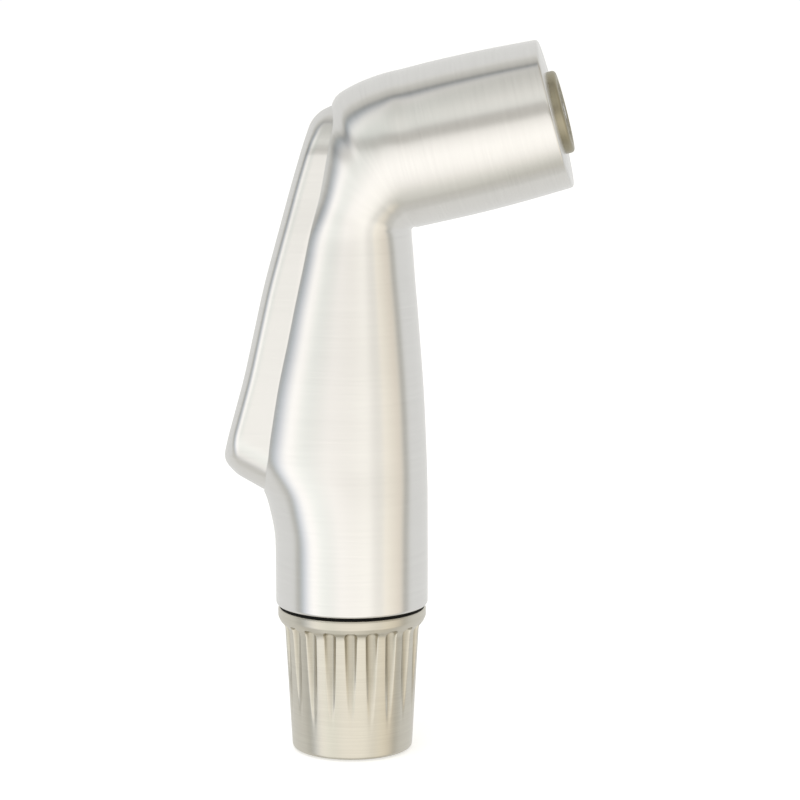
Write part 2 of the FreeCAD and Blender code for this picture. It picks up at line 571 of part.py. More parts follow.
SPRING_R, WIRE_R, TURNS = 2.75, 0.23, 4.0
s0, s1 = 1.93 + WIRE_R, 7.47 - WIRE_R
helix = Part.makeHelix((s1 - s0) / TURNS, s1 - s0, SPRING_R)
prof = Part.Wire(Part.makeCircle(WIRE_R, V(SPRING_R, 0, 0), V(0, 1, 0)))
spring = Part.Wire(helix.Edges).makePipeShell([prof], True, True)
spring.rotate(V(0, 0, 0), V(0, 1, 0), 90)
spring.translate(V(s0, 0, 0))
keep("valve_spring", on_valve(spring))

# inlet end --------------------------------------------------------------------
screen = cyl(5.95, 0.8, V(0, 0, 15.0))
holes = [(0, 0)] + [(1.9 * cos(radians(60 * k)), 1.9 * sin(radians(60 * k))) for k in range(6)] + \
        [(3.8 * cos(radians(30 * k + 15)), 3.8 * sin(radians(30 * k + 15))) for k in range(12)]
for x, y in holes:
    screen = screen.cut(cyl(0.6, 3, V(x, y, 14)))
screen = screen.fuse(tube(5.95, 5.2, 1.2, V(0, 0, 13.8)))
keep("debris_screen", screen.removeSplitter())

nut = tube(COUNTERBORE_R - 0.05, 11.3, 2.6, V(0, 0, FLANGE_Z[0] - 2.62))
for a in range(4):
    n = Part.makeBox(5, 3.0, 1.4, V(10.8, -1.5, FLANGE_Z[0] - 3.0))
    n.rotate(V(0, 0, 0), V(0, 0, 1), 45 + 90 * a)
    nut = nut.cut(n)
keep("retaining_nut", nut)

keep("collar_gasket", tube(15.25, THREAD_R + 0.12, SHELL_Z0 - COLLAR_TOP_Z - 0.02, V(0, 0, COLLAR_TOP_Z + 0.01)))

# hose collar --------------------------------------------------------------------
cr = 0.8
prof = [(COLLAR_BORE_R, 0.0), (COLLAR_R_BOTTOM - cr, 0.0)]
for k in range(1, 7):
    a = radians(15 * k)
    prof.append((COLLAR_R_BOTTOM - cr + cr * sin(a), cr - cr * cos(a)))
prof += [(COLLAR_R_TOP, 26.0), (14.25, 26.35), (14.46, 26.75), (14.78, 27.12), (15.16, 27.48), (15.44, 27.92),
         (COLLAR_FLANGE_R, 28.45), (COLLAR_FLANGE_R, 29.75), (15.46, 30.08), (15.2, COLLAR_TOP_Z),
         (THREAD_R + THREAD_CLEAR, COLLAR_TOP_Z), (THREAD_R + THREAD_CLEAR, COLLAR_BORE_L), (COLLAR_BORE_R, COLLAR_BORE_L)]
collar = revolve_z(prof)
rc0 = FLUTE_FLOOR_R + FLUTE_R
for k in range(FLUTES):
    a = radians(-90 + FLUTE_PHASE + 360.0 / FLUTES * k)
    p = V(rc0 * cos(a), rc0 * sin(a), 4.5)
    c = cyl(FLUTE_R, 21.9, p).fuse(Part.makeSphere(FLUTE_R, V(p.x, p.y, 26.4)))
    collar = collar.cut(c)
keep("hose_collar", collar)

ring = tube(10.2, 8.4, 1.5, V(0, 0, 9.1)).cut(Part.makeBox(12, 6, 4, V(4, -3, 8)))
keep("snap_ring", ring)
keep("hose_washer", tube(10.3, 6.6, 2.1, V(0, 0, 10.8)))

# nozzle, on the head axis -------------------------------------------------------
insert = lathe_x([(-9.0, 5.5), (-9.0, 7.45), (0.01, 7.45), (0.01, INSERT_R), (INSERT_PROUD - 0.7, INSERT_R),
                  (INSERT_PROUD - 0.2, INSERT_R - 0.35), (INSERT_PROUD, INSERT_R - 0.8), (INSERT_PROUD, 6.6),
                  (0.6, 6.6), (0.6, 5.5)])
keep("nozzle_insert", on_head(insert))

face = disc_x(6.56, 0.62, 2.15)
for n, r, ph in ((8, 2.9, 0), (14, 5.0, 8)):
    for k in range(n):
        a = radians(ph + 360.0 / n * k)
        face = face.cut(cyl(0.5, 4, V(-1, r * cos(a), r * sin(a)), V(1, 0, 0)))
face = face.cut(lathe_x([(-1.0, 0), (-1.0, 1.05), (1.33, 1.05), (2.1, 1.82), (3.0, 1.82), (3.0, 0)]))   # countersink
keep("spray_face", on_head(face))

screw = lathe_x([(-4.6, 0), (-4.6, 0.7), (-4.3, 1.0), (1.35, 1.0), (2.1, 1.75), (2.2, 1.75), (2.2, 0)])
screw = screw.cut(Part.makeBox(1.0, 0.5, 6, V(1.7, -0.25, -3)))
keep("face_screw", on_head(screw))

diff = disc_x(5.45, -4.2, -2.4)
for k in range(6):
    a = radians(60 * k)
    diff = diff.cut(cyl(0.95, 4, V(-5, 3.3 * cos(a), 3.3 * sin(a)), V(1, 0, 0)))
diff = diff.cut(disc_x(1.02, -6, 0))
keep("diffuser", on_head(diff))

keep("flow_restrictor", on_head(tube_x(5.4, 1.6, -8.4, -7.2)))

holder = lathe_x([(-16.5, 4.24), (-12.0, 4.24), (-12.0, 3.2), (-10.5, 3.2), (-10.5, 7.5), (-3.25, 7.5), (-3.25, 9.6),
                  (-10.0, 9.6), (-13.0, 7.2), (-16.5, 7.2)])
keep("nozzle_holder", on_head(holder))
keep("nozzle_washer", on_head(tube_x(7.3, 4.6, -10.45, -9.05)))

for name, shape in parts.items():
    shape.exportStep("parts/%s.step" % name)
print(len(parts), "parts written")
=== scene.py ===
import bpy
import json
import math
import numpy as np
from mathutils import Vector, Matrix
from math import sin, cos, tan, pi, radians, sqrt


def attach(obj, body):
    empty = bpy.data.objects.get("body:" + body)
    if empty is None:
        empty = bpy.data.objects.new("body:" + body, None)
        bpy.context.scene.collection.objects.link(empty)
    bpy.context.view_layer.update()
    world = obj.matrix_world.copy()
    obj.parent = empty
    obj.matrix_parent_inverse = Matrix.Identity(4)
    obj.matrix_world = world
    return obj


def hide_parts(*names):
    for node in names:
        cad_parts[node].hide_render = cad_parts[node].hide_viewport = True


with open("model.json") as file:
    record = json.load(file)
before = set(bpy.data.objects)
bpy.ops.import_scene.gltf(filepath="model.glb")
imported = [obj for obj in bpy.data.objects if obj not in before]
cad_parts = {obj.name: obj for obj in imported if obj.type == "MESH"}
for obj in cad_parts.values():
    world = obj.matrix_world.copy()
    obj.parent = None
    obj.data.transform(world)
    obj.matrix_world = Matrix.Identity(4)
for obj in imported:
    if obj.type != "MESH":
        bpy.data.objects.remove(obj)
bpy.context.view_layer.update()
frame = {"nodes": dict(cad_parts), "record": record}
nodes = frame["nodes"]
MM = 0.001

# ---------------------------------------------------------------------------
# dimensions, millimetres, the same as the CAD part
# ---------------------------------------------------------------------------
BEND = (14.0, 109.9)
BEND_INNER_R = 1.5
HEAD_TILT = 14.6
FACE_BOTTOM, FACE_TOP = (46.11, 119.14), (38.29, 149.18)
FACE_HALF_W, FACE_EDGE_R, HEAD_CROWN = 15.5, 0.6, 0.42
FOOT_Z, FOOT_R = 30.9, 0.7
SLOT_HALF_W, SLOT_LOW, SLOT_TOP_Z = 11.2, (-18.4, 55.15), 135.8
SLOT_LOW_R, SLOT_TOP_R, SLOT_SLANT = 10.8, 10.2, radians(27.0)
LIP = 0.30
LEVER_HALF_W, LEVER_EDGE_R, LEVER_GAP = 11.06, 3.4, 0.18
LEVER_DRAFT = 0.08
INSERT_R, INSERT_PROUD, FACE_DOME = 8.6, 1.95, 0.35

GRIP = [   # Z, front X, back X, X of the widest point, half width, fullness of the front
    (30.9, 16.00, -16.00, 0.0, 16.00, 2.0),
    (36.0, 16.00, -16.02, 0.0, 16.00, 2.0),
    (41.5, 16.00, -16.05, 0.0, 16.00, 2.0),
    (46.0, 15.98, -16.22, -0.1, 16.00, 2.0),
    (50.5, 15.97, -17.05, -0.45, 15.98, 2.03),
    (54.8, 15.95, -18.35, -1.0, 15.95, 2.07),
    (58.5, 15.87, -20.40, -1.8, 15.90, 2.12),
    (62.0, 15.76, -21.95, -2.4, 15.80, 2.17),
    (66.5, 15.58, -21.85, -2.5, 15.70, 2.2),
    (72.2, 15.33, -20.95, -2.3, 15.50, 2.2),
    (78.7, 14.95, -19.80, -1.9, 15.30, 2.2),
    (86.6, 14.35, -18.00, -1.3, 15.00, 2.15),
    (94.6, 13.72, -16.25, -0.7, 14.70, 2.12),
    (101.0, 13.17, -14.70, -0.15, 14.50, 2.08),
    (106.0, 12.80, -13.55, 0.35, 14.35, 2.04),
]
FAN = [    # angle about BEND, radius of the widest point, back radius, half width
    (180.0, 13.20, 26.55, 14.30),
    (170.0, 13.30, 25.30, 14.40),
    (161.6, 13.40, 24.95, 14.50),
    (154.0, 13.50, 25.40, 14.70),
    (146.9, 13.70, 26.50, 14.90),
    (140.0, 14.00, 28.20, 15.10),
    (133.8, 14.40, 29.95, 15.30),
    (129.5, 14.80, 30.60, 15.42),
    (126.0, 15.20, 31.05, 15.52),
    (122.5, 15.60, 32.20, 15.62),
    (118.0, 16.10, 32.68, 15.74),
    (113.7, 16.50, 32.78, 15.84),
    (109.0, 16.80, 32.90, 15.92),
    (104.6, 17.10, 33.02, 16.00)]


# ---------------------------------------------------------------------------
# mesh helpers
# ---------------------------------------------------------------------------
def unit(v):
    n = np.linalg.norm(v, axis=-1, keepdims=True)
    return v / np.maximum(n, 1e-12)


class Builder:
    """Collects blocks of vertices with their own normals and UVs, all in mm."""

    def __init__(self):
        self.v, self.n, self.f, self.uv, self.count = [], [], [], [], 0

    def add(self, verts, normals, faces, uvs):
        """uvs: one (u, v) list per face corner, in the order of faces."""
        verts = np.asarray(verts, float).reshape(-1, 3)
        self.v.append(verts)
        self.n.append(np.asarray(normals, float).reshape(-1, 3))
        self.f += [[i + self.count for i in f] for f in faces]
        self.uv += uvs
        self.count += len(verts)

    def grid(self, pts, closed=False, flip=False, normals=None, u=None, v=None):
        """pts[row][col]; the outside is on the side of (along a row) x (up the rows)."""
        pts = np.asarray(pts, float)
        m, k = pts.shape[:2]
        if normals is None:
            normals = grid_normals(pts, closed)
            if flip:
                normals = -normals
        if v is None:
            seg = np.linalg.norm(np.diff(pts, axis=0), axis=2).mean(axis=1)
            v = np.concatenate([[0], np.cumsum(seg)])
        if u is None:
            nxt = np.roll(pts, -1, axis=1) if closed else pts
            d = np.linalg.norm((np.roll(pts, -1, axis=1) - pts), axis=2).mean(axis=0)
            u = np.concatenate([[0], np.cumsum(d)])
        faces, uvs = [], []
        cols = k if closed else k - 1
        for i in range(m - 1):
            for j in range(cols):
                j2 = (j + 1) % k
                q = [i * k + j, i * k + j2, (i + 1) * k + j2, (i + 1) * k + j]
                t = [(u[j], v[i]), (u[j + 1], v[i]), (u[j + 1], v[i + 1]), (u[j], v[i + 1])]
                if flip:
                    q.reverse()
                    t.reverse()
                faces.append(q)
                uvs.append(t)
        self.add(pts, normals, faces, uvs)

    def polygon(self, loop, normal):
        loop = np.asarray(loop, float).reshape(-1, 3)
        nrm = np.asarray(normal, float)
        area = np.zeros(3)
        for a, b in zip(loop, np.roll(loop, -1, axis=0)):
            area += np.cross(a, b)
        idx = list(range(len(loop)))
        if np.dot(area, nrm) < 0:
            idx.reverse()
        self.add(loop, np.tile(unit(nrm), (len(loop), 1)), [idx], [[(loop[i][0], loop[i][1]) for i in idx]])

    def build(self, name):
        me = bpy.data.meshes.new(name)
        v = np.concatenate(self.v) * MM
        me.from_pydata(v.tolist(), [], self.f)
        me.polygons.foreach_set("use_smooth", np.ones(len(me.polygons), bool))
        layer = me.uv_layers.new(name="brush")
        flat = np.array([c for face in self.uv for c in face], np.float32)
        layer.data.foreach_set("uv", flat.ravel())
        me.update()
        me.normals_split_custom_set_from_vertices(unit(np.concatenate(self.n)).tolist())
        me.update()
        ob = bpy.data.objects.new(name, me)
        bpy.context.scene.collection.objects.link(ob)
        return ob


def grid_normals(p, closed):
    if closed:
        du = np.roll(p, -1, axis=1) - np.roll(p, 1, axis=1)
    else:
        du = np.gradient(p, axis=1)
    dv = np.gradient(p, axis=0)
    return unit(np.cross(du, dv))


def profile_normals(prof):
    """Normals (r, z) of an open profile whose outside is to the right of travel."""
    d = unit(np.gradient(np.asarray(prof, float), axis=0))
    return np.stack([d[:, 1], -d[:, 0]], axis=1)


def round_profile(points, radii, step=0.08):
    """Points (a, b) with a tangent arc of the given radius at every inner corner."""
    out = [points[0]]
    for i in range(1, len(points) - 1):
        p, q, t = points[i - 1], points[i], points[i + 1]
        n1, n2 = math.dist(p, q), math.dist(q, t)
        d1 = ((q[0] - p[0]) / n1, (q[1] - p[1]) / n1)
        d2 = ((t[0] - q[0]) / n2, (t[1] - q[1]) / n2)
        turn = math.atan2(d1[0] * d2[1] - d1[1] * d2[0], d1[0] * d2[0] + d1[1] * d2[1])
        r = radii[i - 1]
        if r <= 0 or abs(turn) < 1e-4:
            out.append(q)
            continue
        tl = r * tan(abs(turn) / 2)
        sx, sz = q[0] - d1[0] * tl, q[1] - d1[1] * tl
        side = 1.0 if turn > 0 else -1.0
        cx, cz = sx - d1[1] * r * side, sz + d1[0] * r * side
        m = max(4, int(r * abs(turn) / step))
        for k in range(m + 1):
            a = turn * k / m
            vx, vz = sx - cx, sz - cz
            out.append((cx + vx * cos(a) - vz * sin(a), cz + vx * sin(a) + vz * cos(a)))
    out.append(points[-1])
    return out


def subdivide(line, step):
    out = [line[0]]
    for a, b in zip(line, line[1:]):
        m = max(1, int(math.ceil(math.dist(a, b) / step)))
        for k in range(1, m + 1):
            out.append((a[0] + (b[0] - a[0]) * k / m, a[1] + (b[1] - a[1]) * k / m))
    return out


# ---------------------------------------------------------------------------
# the grip and head: one smooth skin through the sections
# ---------------------------------------------------------------------------
def lerp(a, b, u):
    return (a[0] + (b[0] - a[0]) * u, a[1] + (b[1] - a[1]) * u)


def body_sections():
    out = []
    for z, xf, xb, xc, b, e in GRIP:
        out.append(((xf, z), (xc, z), (xb, z), b, e))
    for ang, rc, rb, b in FAN:
        c, s = cos(radians(ang)), sin(radians(ang))
        pt = lambda r: (BEND[0] + r * c, BEND[1] + r * s)
        out.append((pt(BEND_INNER_R - 0.75 * (180.0 - ang) / 75.4), pt(rc), pt(rb), b, 2.0))
    f0, c0, b0, w0, e0 = out[-1]
    fc = lerp(FACE_BOTTOM, FACE_TOP, 0.5)
    nx, nz = cos(radians(90 + HEAD_TILT)), sin(radians(90 + HEAD_TILT))
    span = math.dist(FACE_BOTTOM, f0)
    r = FACE_EDGE_R
    steps = [0.12, 0.25, 0.45, 0.65, 0.80, 1.0 - 3.2 * r / span, 1.0 - 2.0 * r / span]
    steps += [1.0 - k * r / span for k in (1.45, 1.0, 0.72, 0.48, 0.28, 0.12, 0.03, 0.0)]
    for u in steps:
        g = HEAD_CROWN * sin(pi * u)
        f, b, c = lerp(f0, FACE_BOTTOM, u), lerp(b0, FACE_TOP, u), lerp(c0, fc, u)
        w = w0 + (FACE_HALF_W - w0) * u + g
        d = (1.0 - u) * span
        k = r - sqrt(max(r * r - (r - d) ** 2, 0.0)) if d < r else 0.0
        out.append(((f[0] - nx * (g - k), f[1] - nz * (g - k)), c, (b[0] + nx * (g - k), b[1] + nz * (g - k)), w - k, 2.0))
    return out


SEC = np.array([[s[0][0], s[0][1], s[1][0], s[1][1], s[2][0], s[2][1], s[3], s[4]] for s in body_sections()])


def ring_of(sec, a):
    """sec (..., 7) and angle a, broadcast together -> points (..., 3)."""
    ca = np.cos(a)
    qx = np.where(ca >= 0, sec[..., 0], sec[..., 4])
    qz = np.where(ca >= 0, sec[..., 1], sec[..., 5])
    t = np.where(ca >= 0, np.abs(ca) ** (2.0 / sec[..., 7]), np.abs(ca))
    return np.stack([sec[..., 2] + (qx - sec[..., 2]) * t, sec[..., 6] * np.sin(a), sec[..., 3] + (qz - sec[..., 3]) * t], axis=-1)


_a32 = 2 * pi * np.arange(32) / 32
_rings = ring_of(SEC[:, None, :], _a32[None, :])
KNOT = np.concatenate([[0], np.cumsum(np.linalg.norm(np.diff(_rings, axis=0), axis=2).mean(axis=1))])


def end_slope(x, y):
    """Slope at x[0] of the cubic through the first four points."""
    s = np.zeros(y.shape[1])
    for i in range(4):
        li = 0.0
        for m in range(4):
            if m != i:
                term = 1.0 / (x[i] - x[m])
                for q in range(4):
                    if q not in (i, m):
                        term *= (x[0] - x[q]) / (x[i] - x[q])
                li += term
        s = s + li * y[i]
    return s


def spline_slopes(x, y):
    n = len(x)
    h = np.diff(x)
    a = np.zeros((n, n))
    rhs = np.zeros_like(y)
    a[0, 0] = a[-1, -1] = 1.0
    rhs[0] = end_slope(x[:4], y[:4])
    rhs[-1] = end_slope(x[::-1][:4], y[::-1][:4])
    for i in range(1, n - 1):
        a[i, i - 1], a[i, i], a[i, i + 1] = h[i], 2 * (h[i - 1] + h[i]), h[i - 1]
        rhs[i] = 3 * (h[i] * (y[i] - y[i - 1]) / h[i - 1] + h[i - 1] * (y[i + 1] - y[i]) / h[i])
    return np.linalg.solve(a, rhs)


SLOPE = spline_slopes(KNOT, SEC)


def section_at(t):
    t = np.clip(np.asarray(t, float), KNOT[0], KNOT[-1])
    i = np.clip(np.searchsorted(KNOT, t, side="right") - 1, 0, len(KNOT) - 2)
    h = (KNOT[i + 1] - KNOT[i])[..., None]
    s = ((t - KNOT[i])[..., None]) / h
    h00, h10 = 2 * s ** 3 - 3 * s ** 2 + 1, s ** 3 - 2 * s ** 2 + s
    h01, h11 = -2 * s ** 3 + 3 * s ** 2, s ** 3 - s ** 2
    return h00 * SEC[i] + h10 * h * SLOPE[i] + h01 * SEC[i + 1] + h11 * h * SLOPE[i + 1]


def foot_inset(t):
    """The lower edge of the grip is rounded."""
    d = np.asarray(t, float) - KNOT[0]
    return np.where(d < FOOT_R, FOOT_R - np.sqrt(np.maximum(FOOT_R ** 2 - (FOOT_R - np.minimum(d, FOOT_R)) ** 2, 0.0)), 0.0)


def surf(t, a):
    sec = section_at(t)
    p = ring_of(sec, a)
    k = foot_inset(t)[..., None]
    c = np.stack([sec[..., 2], np.zeros_like(sec[..., 2]), sec[..., 3]], axis=-1)
    d = p - c
    r = np.linalg.norm(d, axis=-1, keepdims=True)
    return c + d * (1 - k / r)


def surf_normal(t, a):
    e, ea = 0.02, 0.002
    dt = surf(np.minimum(t + e, KNOT[-1]), a) - surf(np.maximum(t - e, KNOT[0]), a)
    da = surf(t, a + ea) - surf(t, a - ea)
    return unit(np.cross(da, dt))


# distance, seen from behind, to the window that the lever sits in
DEPTH = np.array([(-12.0, 10.0), (-9.0, 49.0), (-5.0, 60.0), (-3.0, 80.0), (-1.5, 100.0), (0.5, 118.0), (3.0, 130.0), (3.0, 160.0)])


def window_distance(p):
    x, y, z = p[..., 0], np.abs(p[..., 1]), p[..., 2]
    h = z + (x - SLOT_LOW[0]) * tan(SLOT_SLANT)
    zc, e = SLOT_LOW[1] + SLOT_LOW_R, SLOT_HALF_W - SLOT_LOW_R
    low = np.where(h < zc, np.hypot(np.maximum(y - e, 0), zc - h) - SLOT_LOW_R, y - SLOT_HALF_W)
    zt, f = SLOT_TOP_Z - SLOT_TOP_R, SLOT_HALF_W - SLOT_TOP_R
    top = np.where(z > zt, np.hypot(np.maximum(y - f, 0), z - zt) - SLOT_TOP_R, y - SLOT_HALF_W)
    d = np.maximum(low, top)
    return np.where(x < np.interp(z, DEPTH[:, 1], DEPTH[:, 0]), d, 5.0)


def build_body():
    bld = Builder()
    n = 176
    ang = 2 * pi * np.arange(n) / n
    rows = [0.0, 0.015, 0.05, 0.11, 0.19, 0.29, 0.41, 0.55, FOOT_R]
    t = FOOT_R
    face_start = KNOT[-1] - 3.3
    while t < face_start - 0.6:
        t += 0.55
        rows.append(t)
    rows += list(np.linspace(face_start, KNOT[-1] - 1.0, 8))
    rows += [KNOT[-1] - d for d in (0.86, 0.72, 0.6, 0.48, 0.38, 0.28, 0.19, 0.12, 0.06, 0.02, 0.0)]
    rows = np.array(rows)
    T, A = np.meshgrid(rows, ang, indexing="ij")
    P = surf(T, A)
    N = surf_normal(T, A)
    F = window_distance(P) - LIP
    m = len(rows)
    verts, norms, params = [P.reshape(-1, 3)], [N.reshape(-1, 3)], None
    # vertices where the grid's edges cross the window's edge
    edges, order = {}, []

    def crossing(i0, j0, i1, j1):
        key = (min((i0, j0 % n), (i1, j1 % n)), max((i0, j0 % n), (i1, j1 % n)))
        if key not in edges:
            edges[key] = m * n + len(order)
            order.append((rows[i0], 2 * pi * j0 / n, rows[i1], 2 * pi * j1 / n, F[i0, j0 % n] > 0))
        return edges[key]

    faces, uvs, rim = [], [], []
    keep = F > 0
    per = 100.0
    for i in range(m - 1):
        for j in range(n):
            corners = [(i, j), (i, j + 1), (i + 1, j + 1), (i + 1, j)]
            inside = [keep[a, b % n] for a, b in corners]
            if not any(inside):
                continue
            if all(inside):
                faces.append([a * n + b % n for a, b in corners])
                uvs.append([(b * per / n, rows[a]) for a, b in corners])
                continue
            poly, uvp, cut = [], [], []
            for k in range(4):
                (a0, b0), (a1, b1) = corners[k], corners[(k + 1) % 4]
                if inside[k]:
                    poly.append(a0 * n + b0 % n)
                    uvp.append((b0 * per / n, rows[a0]))
                if inside[k] != inside[(k + 1) % 4]:
                    c = crossing(a0, b0, a1, b1)
                    poly.append(c)
                    uvp.append(None)
                    cut.append((c, inside[k]))
            if len(poly) >= 3 and len(cut) == 2:
                faces.append(poly)
                uvs.append(uvp)
                # walking the kept polygon: out at the first kept-to-lost edge, back in at the other
                out = [c for c, was in cut if was][0]
                back = [c for c, was in cut if not was][0]
                rim.append((out, back))
    o = np.array([(a, b, c, d) for a, b, c, d, _ in order])
    pos = np.array([q[4] for q in order])
    lo, hi = np.zeros(len(o)), np.ones(len(o))
    for _ in range(22):
        mid = (lo + hi) / 2
        tt, aa = o[:, 0] + (o[:, 2] - o[:, 0]) * mid, o[:, 1] + (o[:, 3] - o[:, 1]) * mid
        f = window_distance(surf(tt, aa)) - LIP
        same = (f > 0) == pos
        lo, hi = np.where(same, mid, lo), np.where(same, hi, mid)
    mid = (lo + hi) / 2
    tt, aa = o[:, 0] + (o[:, 2] - o[:, 0]) * mid, o[:, 1] + (o[:, 3] - o[:, 1]) * mid
    cp, cn = surf(tt, aa), surf_normal(tt, aa)
    verts.append(cp)
    norms.append(cn)
    base = m * n
    for k, poly in enumerate(faces):
        for q in range(len(poly)):
            if uvs[k][q] is None:
                u = aa[poly[q] - base] * per / (2 * pi)
                uvs[k][q] = (u, tt[poly[q] - base])
    allv, alln = np.concatenate(verts), np.concatenate(norms)
    used = sorted({i for f in faces for i in f})
    new = {old: k for k, old in enumerate(used)}
    bld.add(allv[used], alln[used], [[new[i] for i in f] for f in faces], uvs)

    # the lip round the window: a small round, then the wall going in
    nxt = {a: b for a, b in rim}
    start = rim[0][0]
    loop, c = [start], nxt[start]
    while c != start:
        loop.append(c)
        c = nxt[c]
    lp, ln = allv[loop], alln[loop]
    # indices of points at least 0.12 mm apart; the loop itself is not thinned with them
    keepi = [0]
    for k in range(1, len(lp)):
        if np.linalg.norm(lp[k] - lp[keepi[-1]]) > 0.12:
            keepi.append(k)
    e = 1e-3
    grad = np.stack([(window_distance(lp + np.eye(3)[k] * e) - window_distance(lp - np.eye(3)[k] * e)) / (2 * e) for k in range(3)], axis=-1)
    grad = grad - ln * np.sum(grad * ln, axis=1, keepdims=True)
    tin = -unit(grad)
    for _ in range(3):
        tin = unit(np.roll(tin, 1, axis=0) + 2 * tin + np.roll(tin, -1, axis=0))
        tin = unit(tin - ln * np.sum(tin * ln, axis=1, keepdims=True))
    w = np.clip((75.0 - lp[:, 2]) / 9.0, 0, 1)[:, None]
    w = w * w * (3 - 2 * w)
    wall = unit(np.array([[1.0, 0, 0]]) * (1 - w) + np.array([[cos(SLOT_SLANT), 0, -sin(SLOT_SLANT)]]) * w)
    wn = unit(tin - wall * np.sum(tin * wall, axis=1, keepdims=True))
    grid_p, grid_n = [], []
    last = None
    for k in range(7):
        th = radians(82.0) * k / 6
        grid_p.append(lp + tin * LIP * sin(th) - ln * LIP * (1 - cos(th)))
        nn = unit(ln * cos(th) + tin * sin(th))
        grid_n.append(nn)
    for d in (0.25, 1.2, 2.8):
        grid_p.append(grid_p[6] + wall * d)
        grid_n.append(unit(wn))
    gp, gn = np.array(grid_p), np.array(grid_n)
    s = np.concatenate([[0], np.cumsum(np.linalg.norm(np.roll(lp, -1, axis=0) - lp, axis=1))])
    v = np.concatenate([[0], np.cumsum(np.linalg.norm(np.diff(gp, axis=0), axis=2).mean(axis=1))])
    # orientation: along the loop x inwards has to agree with the normals
    du = np.roll(gp[0], -1, axis=0) - gp[0]
    dv = gp[2] - gp[0]
    flip = np.mean(np.sum(np.cross(du, dv) * gn[1], axis=1)) < 0
    bld.grid(gp, closed=True, flip=flip, normals=gn, u=s, v=v)

    # front face of the head, with the nozzle's hole in it
    tilt = radians(HEAD_TILT)
    D = np.array([cos(tilt), 0, sin(tilt)])
    U = np.array([-sin(tilt), 0, cos(tilt)])
    fc = np.array([(FACE_BOTTOM[0] + FACE_TOP[0]) / 2, 0, (FACE_BOTTOM[1] + FACE_TOP[1]) / 2])
    edge = P[-1]
    rel = edge - fc
    yy, uu = rel[:, 1], rel @ U
    rr = np.hypot(yy, uu)
    hole = fc + 7.6 * (np.outer(yy / rr, [0, 1, 0]) + np.outer(uu / rr, U))
    out_dir = unit(edge - fc)
    face_rows, face_n = [], []
    for s in (0.0, 0.04, 0.1, 0.2, 0.35, 0.5, 0.7, 0.9, 0.96, 1.0):
        face_rows.append(edge * (1 - s) + hole * s + D * FACE_DOME * sin(s * pi / 2))
        face_n.append(unit(D + out_dir * 0.07 * cos(s * pi / 2) * min(1.0, s / 0.04)))
    bld.grid(np.array(face_rows), closed=True, normals=np.array(face_n))
    hole = face_rows[-1]
    bld.grid(np.array([hole, hole - D * 1.2, hole - D * 3.0]), closed=True)

    # foot: underside, counterbore and the seat behind it
    foot = round_profile([(16.0 - FOOT_R, 30.9), (13.75, 30.9), (13.65, 31.05), (13.65, 37.0), (13.0, 37.0), (13.0, 52.0)],
                         [0.03, 0.05, 0.0, 0.0])
    foot = subdivide(foot, 2.0)
    rings = []
    for r, z in foot:
        rings.append(np.stack([r * np.cos(ang), r * np.sin(ang), np.full(n, z)], axis=1))
    rings = np.array(rings)
    nr = []
    for k in range(len(foot)):
        a, b = foot[max(k - 1, 0)], foot[min(k + 1, len(foot) - 1)]
        dr, dz = b[0] - a[0], b[1] - a[1]
        q = math.hypot(dr, dz)
        nr.append(np.stack([-dz / q * np.cos(ang), -dz / q * np.sin(ang), np.full(n, dr / q)], axis=1))
    bld.grid(rings, closed=True, flip=True, normals=np.array(nr))
    return bld.build("grip_shell")


# ---------------------------------------------------------------------------
# trigger lever
# ---------------------------------------------------------------------------
LEVER_BACK = [(-3.9, 135.55), (-7.25, 134.2), (-11.6, 119.6), (-17.35, 98.8), (-21.55, 79.8), (-27.05, 60.0),
              (-18.45, 55.3), (-14.5, 53.33)]
LEVER_BACK_R = [6.0, 180.0, 150.0, 120.0, 4.8, 0.5]
LEVER_FRONT = [(-15.6, 53.90), (-12.7, 60.0), (-11.6, 70.0), (-9.2, 84.0), (-6.8, 98.0), (-4.2, 108.0), (-2.0, 116.0),
               (-0.8, 124.0), (-0.8, 134.60)]
LEVER_LOW = (SLOT_LOW[0], SLOT_LOW[1] + 0.15)
LEVER_TOP_Z = SLOT_TOP_Z - 0.3
_line = np.array(round_profile(LEVER_BACK, LEVER_BACK_R, 0.1))[::-1]
_front = np.array(LEVER_FRONT)


def back_x(z):
    return float(np.interp(z, _line[:, 1], _line[:, 0]))


def front_x(z):
    return float(np.interp(z, _front[:, 1], _front[:, 0])) if z < 134.4 else -0.8 - (z - 134.4) * 2.5


SEAM = np.array([(-17.5, 55.0), (-16.3, 61.0), (-15.9, 66.0), (-15.0, 72.2), (-14.0, 78.7), (-12.35, 86.6), (-10.3, 97.4), (-9.0, 105.2),
                 (-7.8, 110.0), (-5.3, 116.3), (-3.6, 124.9), (-3.0, 127.8), (-2.7, 134.0)])


def seam_x(z):
    """Where the lever's sides come out of the grip."""
    return float(np.interp(z, SEAM[:, 1], SEAM[:, 0]))


def lever_hw(x, z):
    h = z + (x - LEVER_LOW[0]) * tan(SLOT_SLANT)
    rl, rt, w = SLOT_LOW_R - LEVER_GAP, SLOT_TOP_R - LEVER_GAP, LEVER_HALF_W
    d = LEVER_LOW[1] + rl - h
    if d > 0:
        w = min(w, LEVER_HALF_W - rl + sqrt(max(rl * rl - d * d, 0.04)))
    d = z - (LEVER_TOP_Z - rt)
    if d > 0:
        w = min(w, LEVER_HALF_W - rt + sqrt(max(rt * rt - d * d, 0.04)))
    return w - LEVER_DRAFT * max(0.0, seam_x(z) - x)


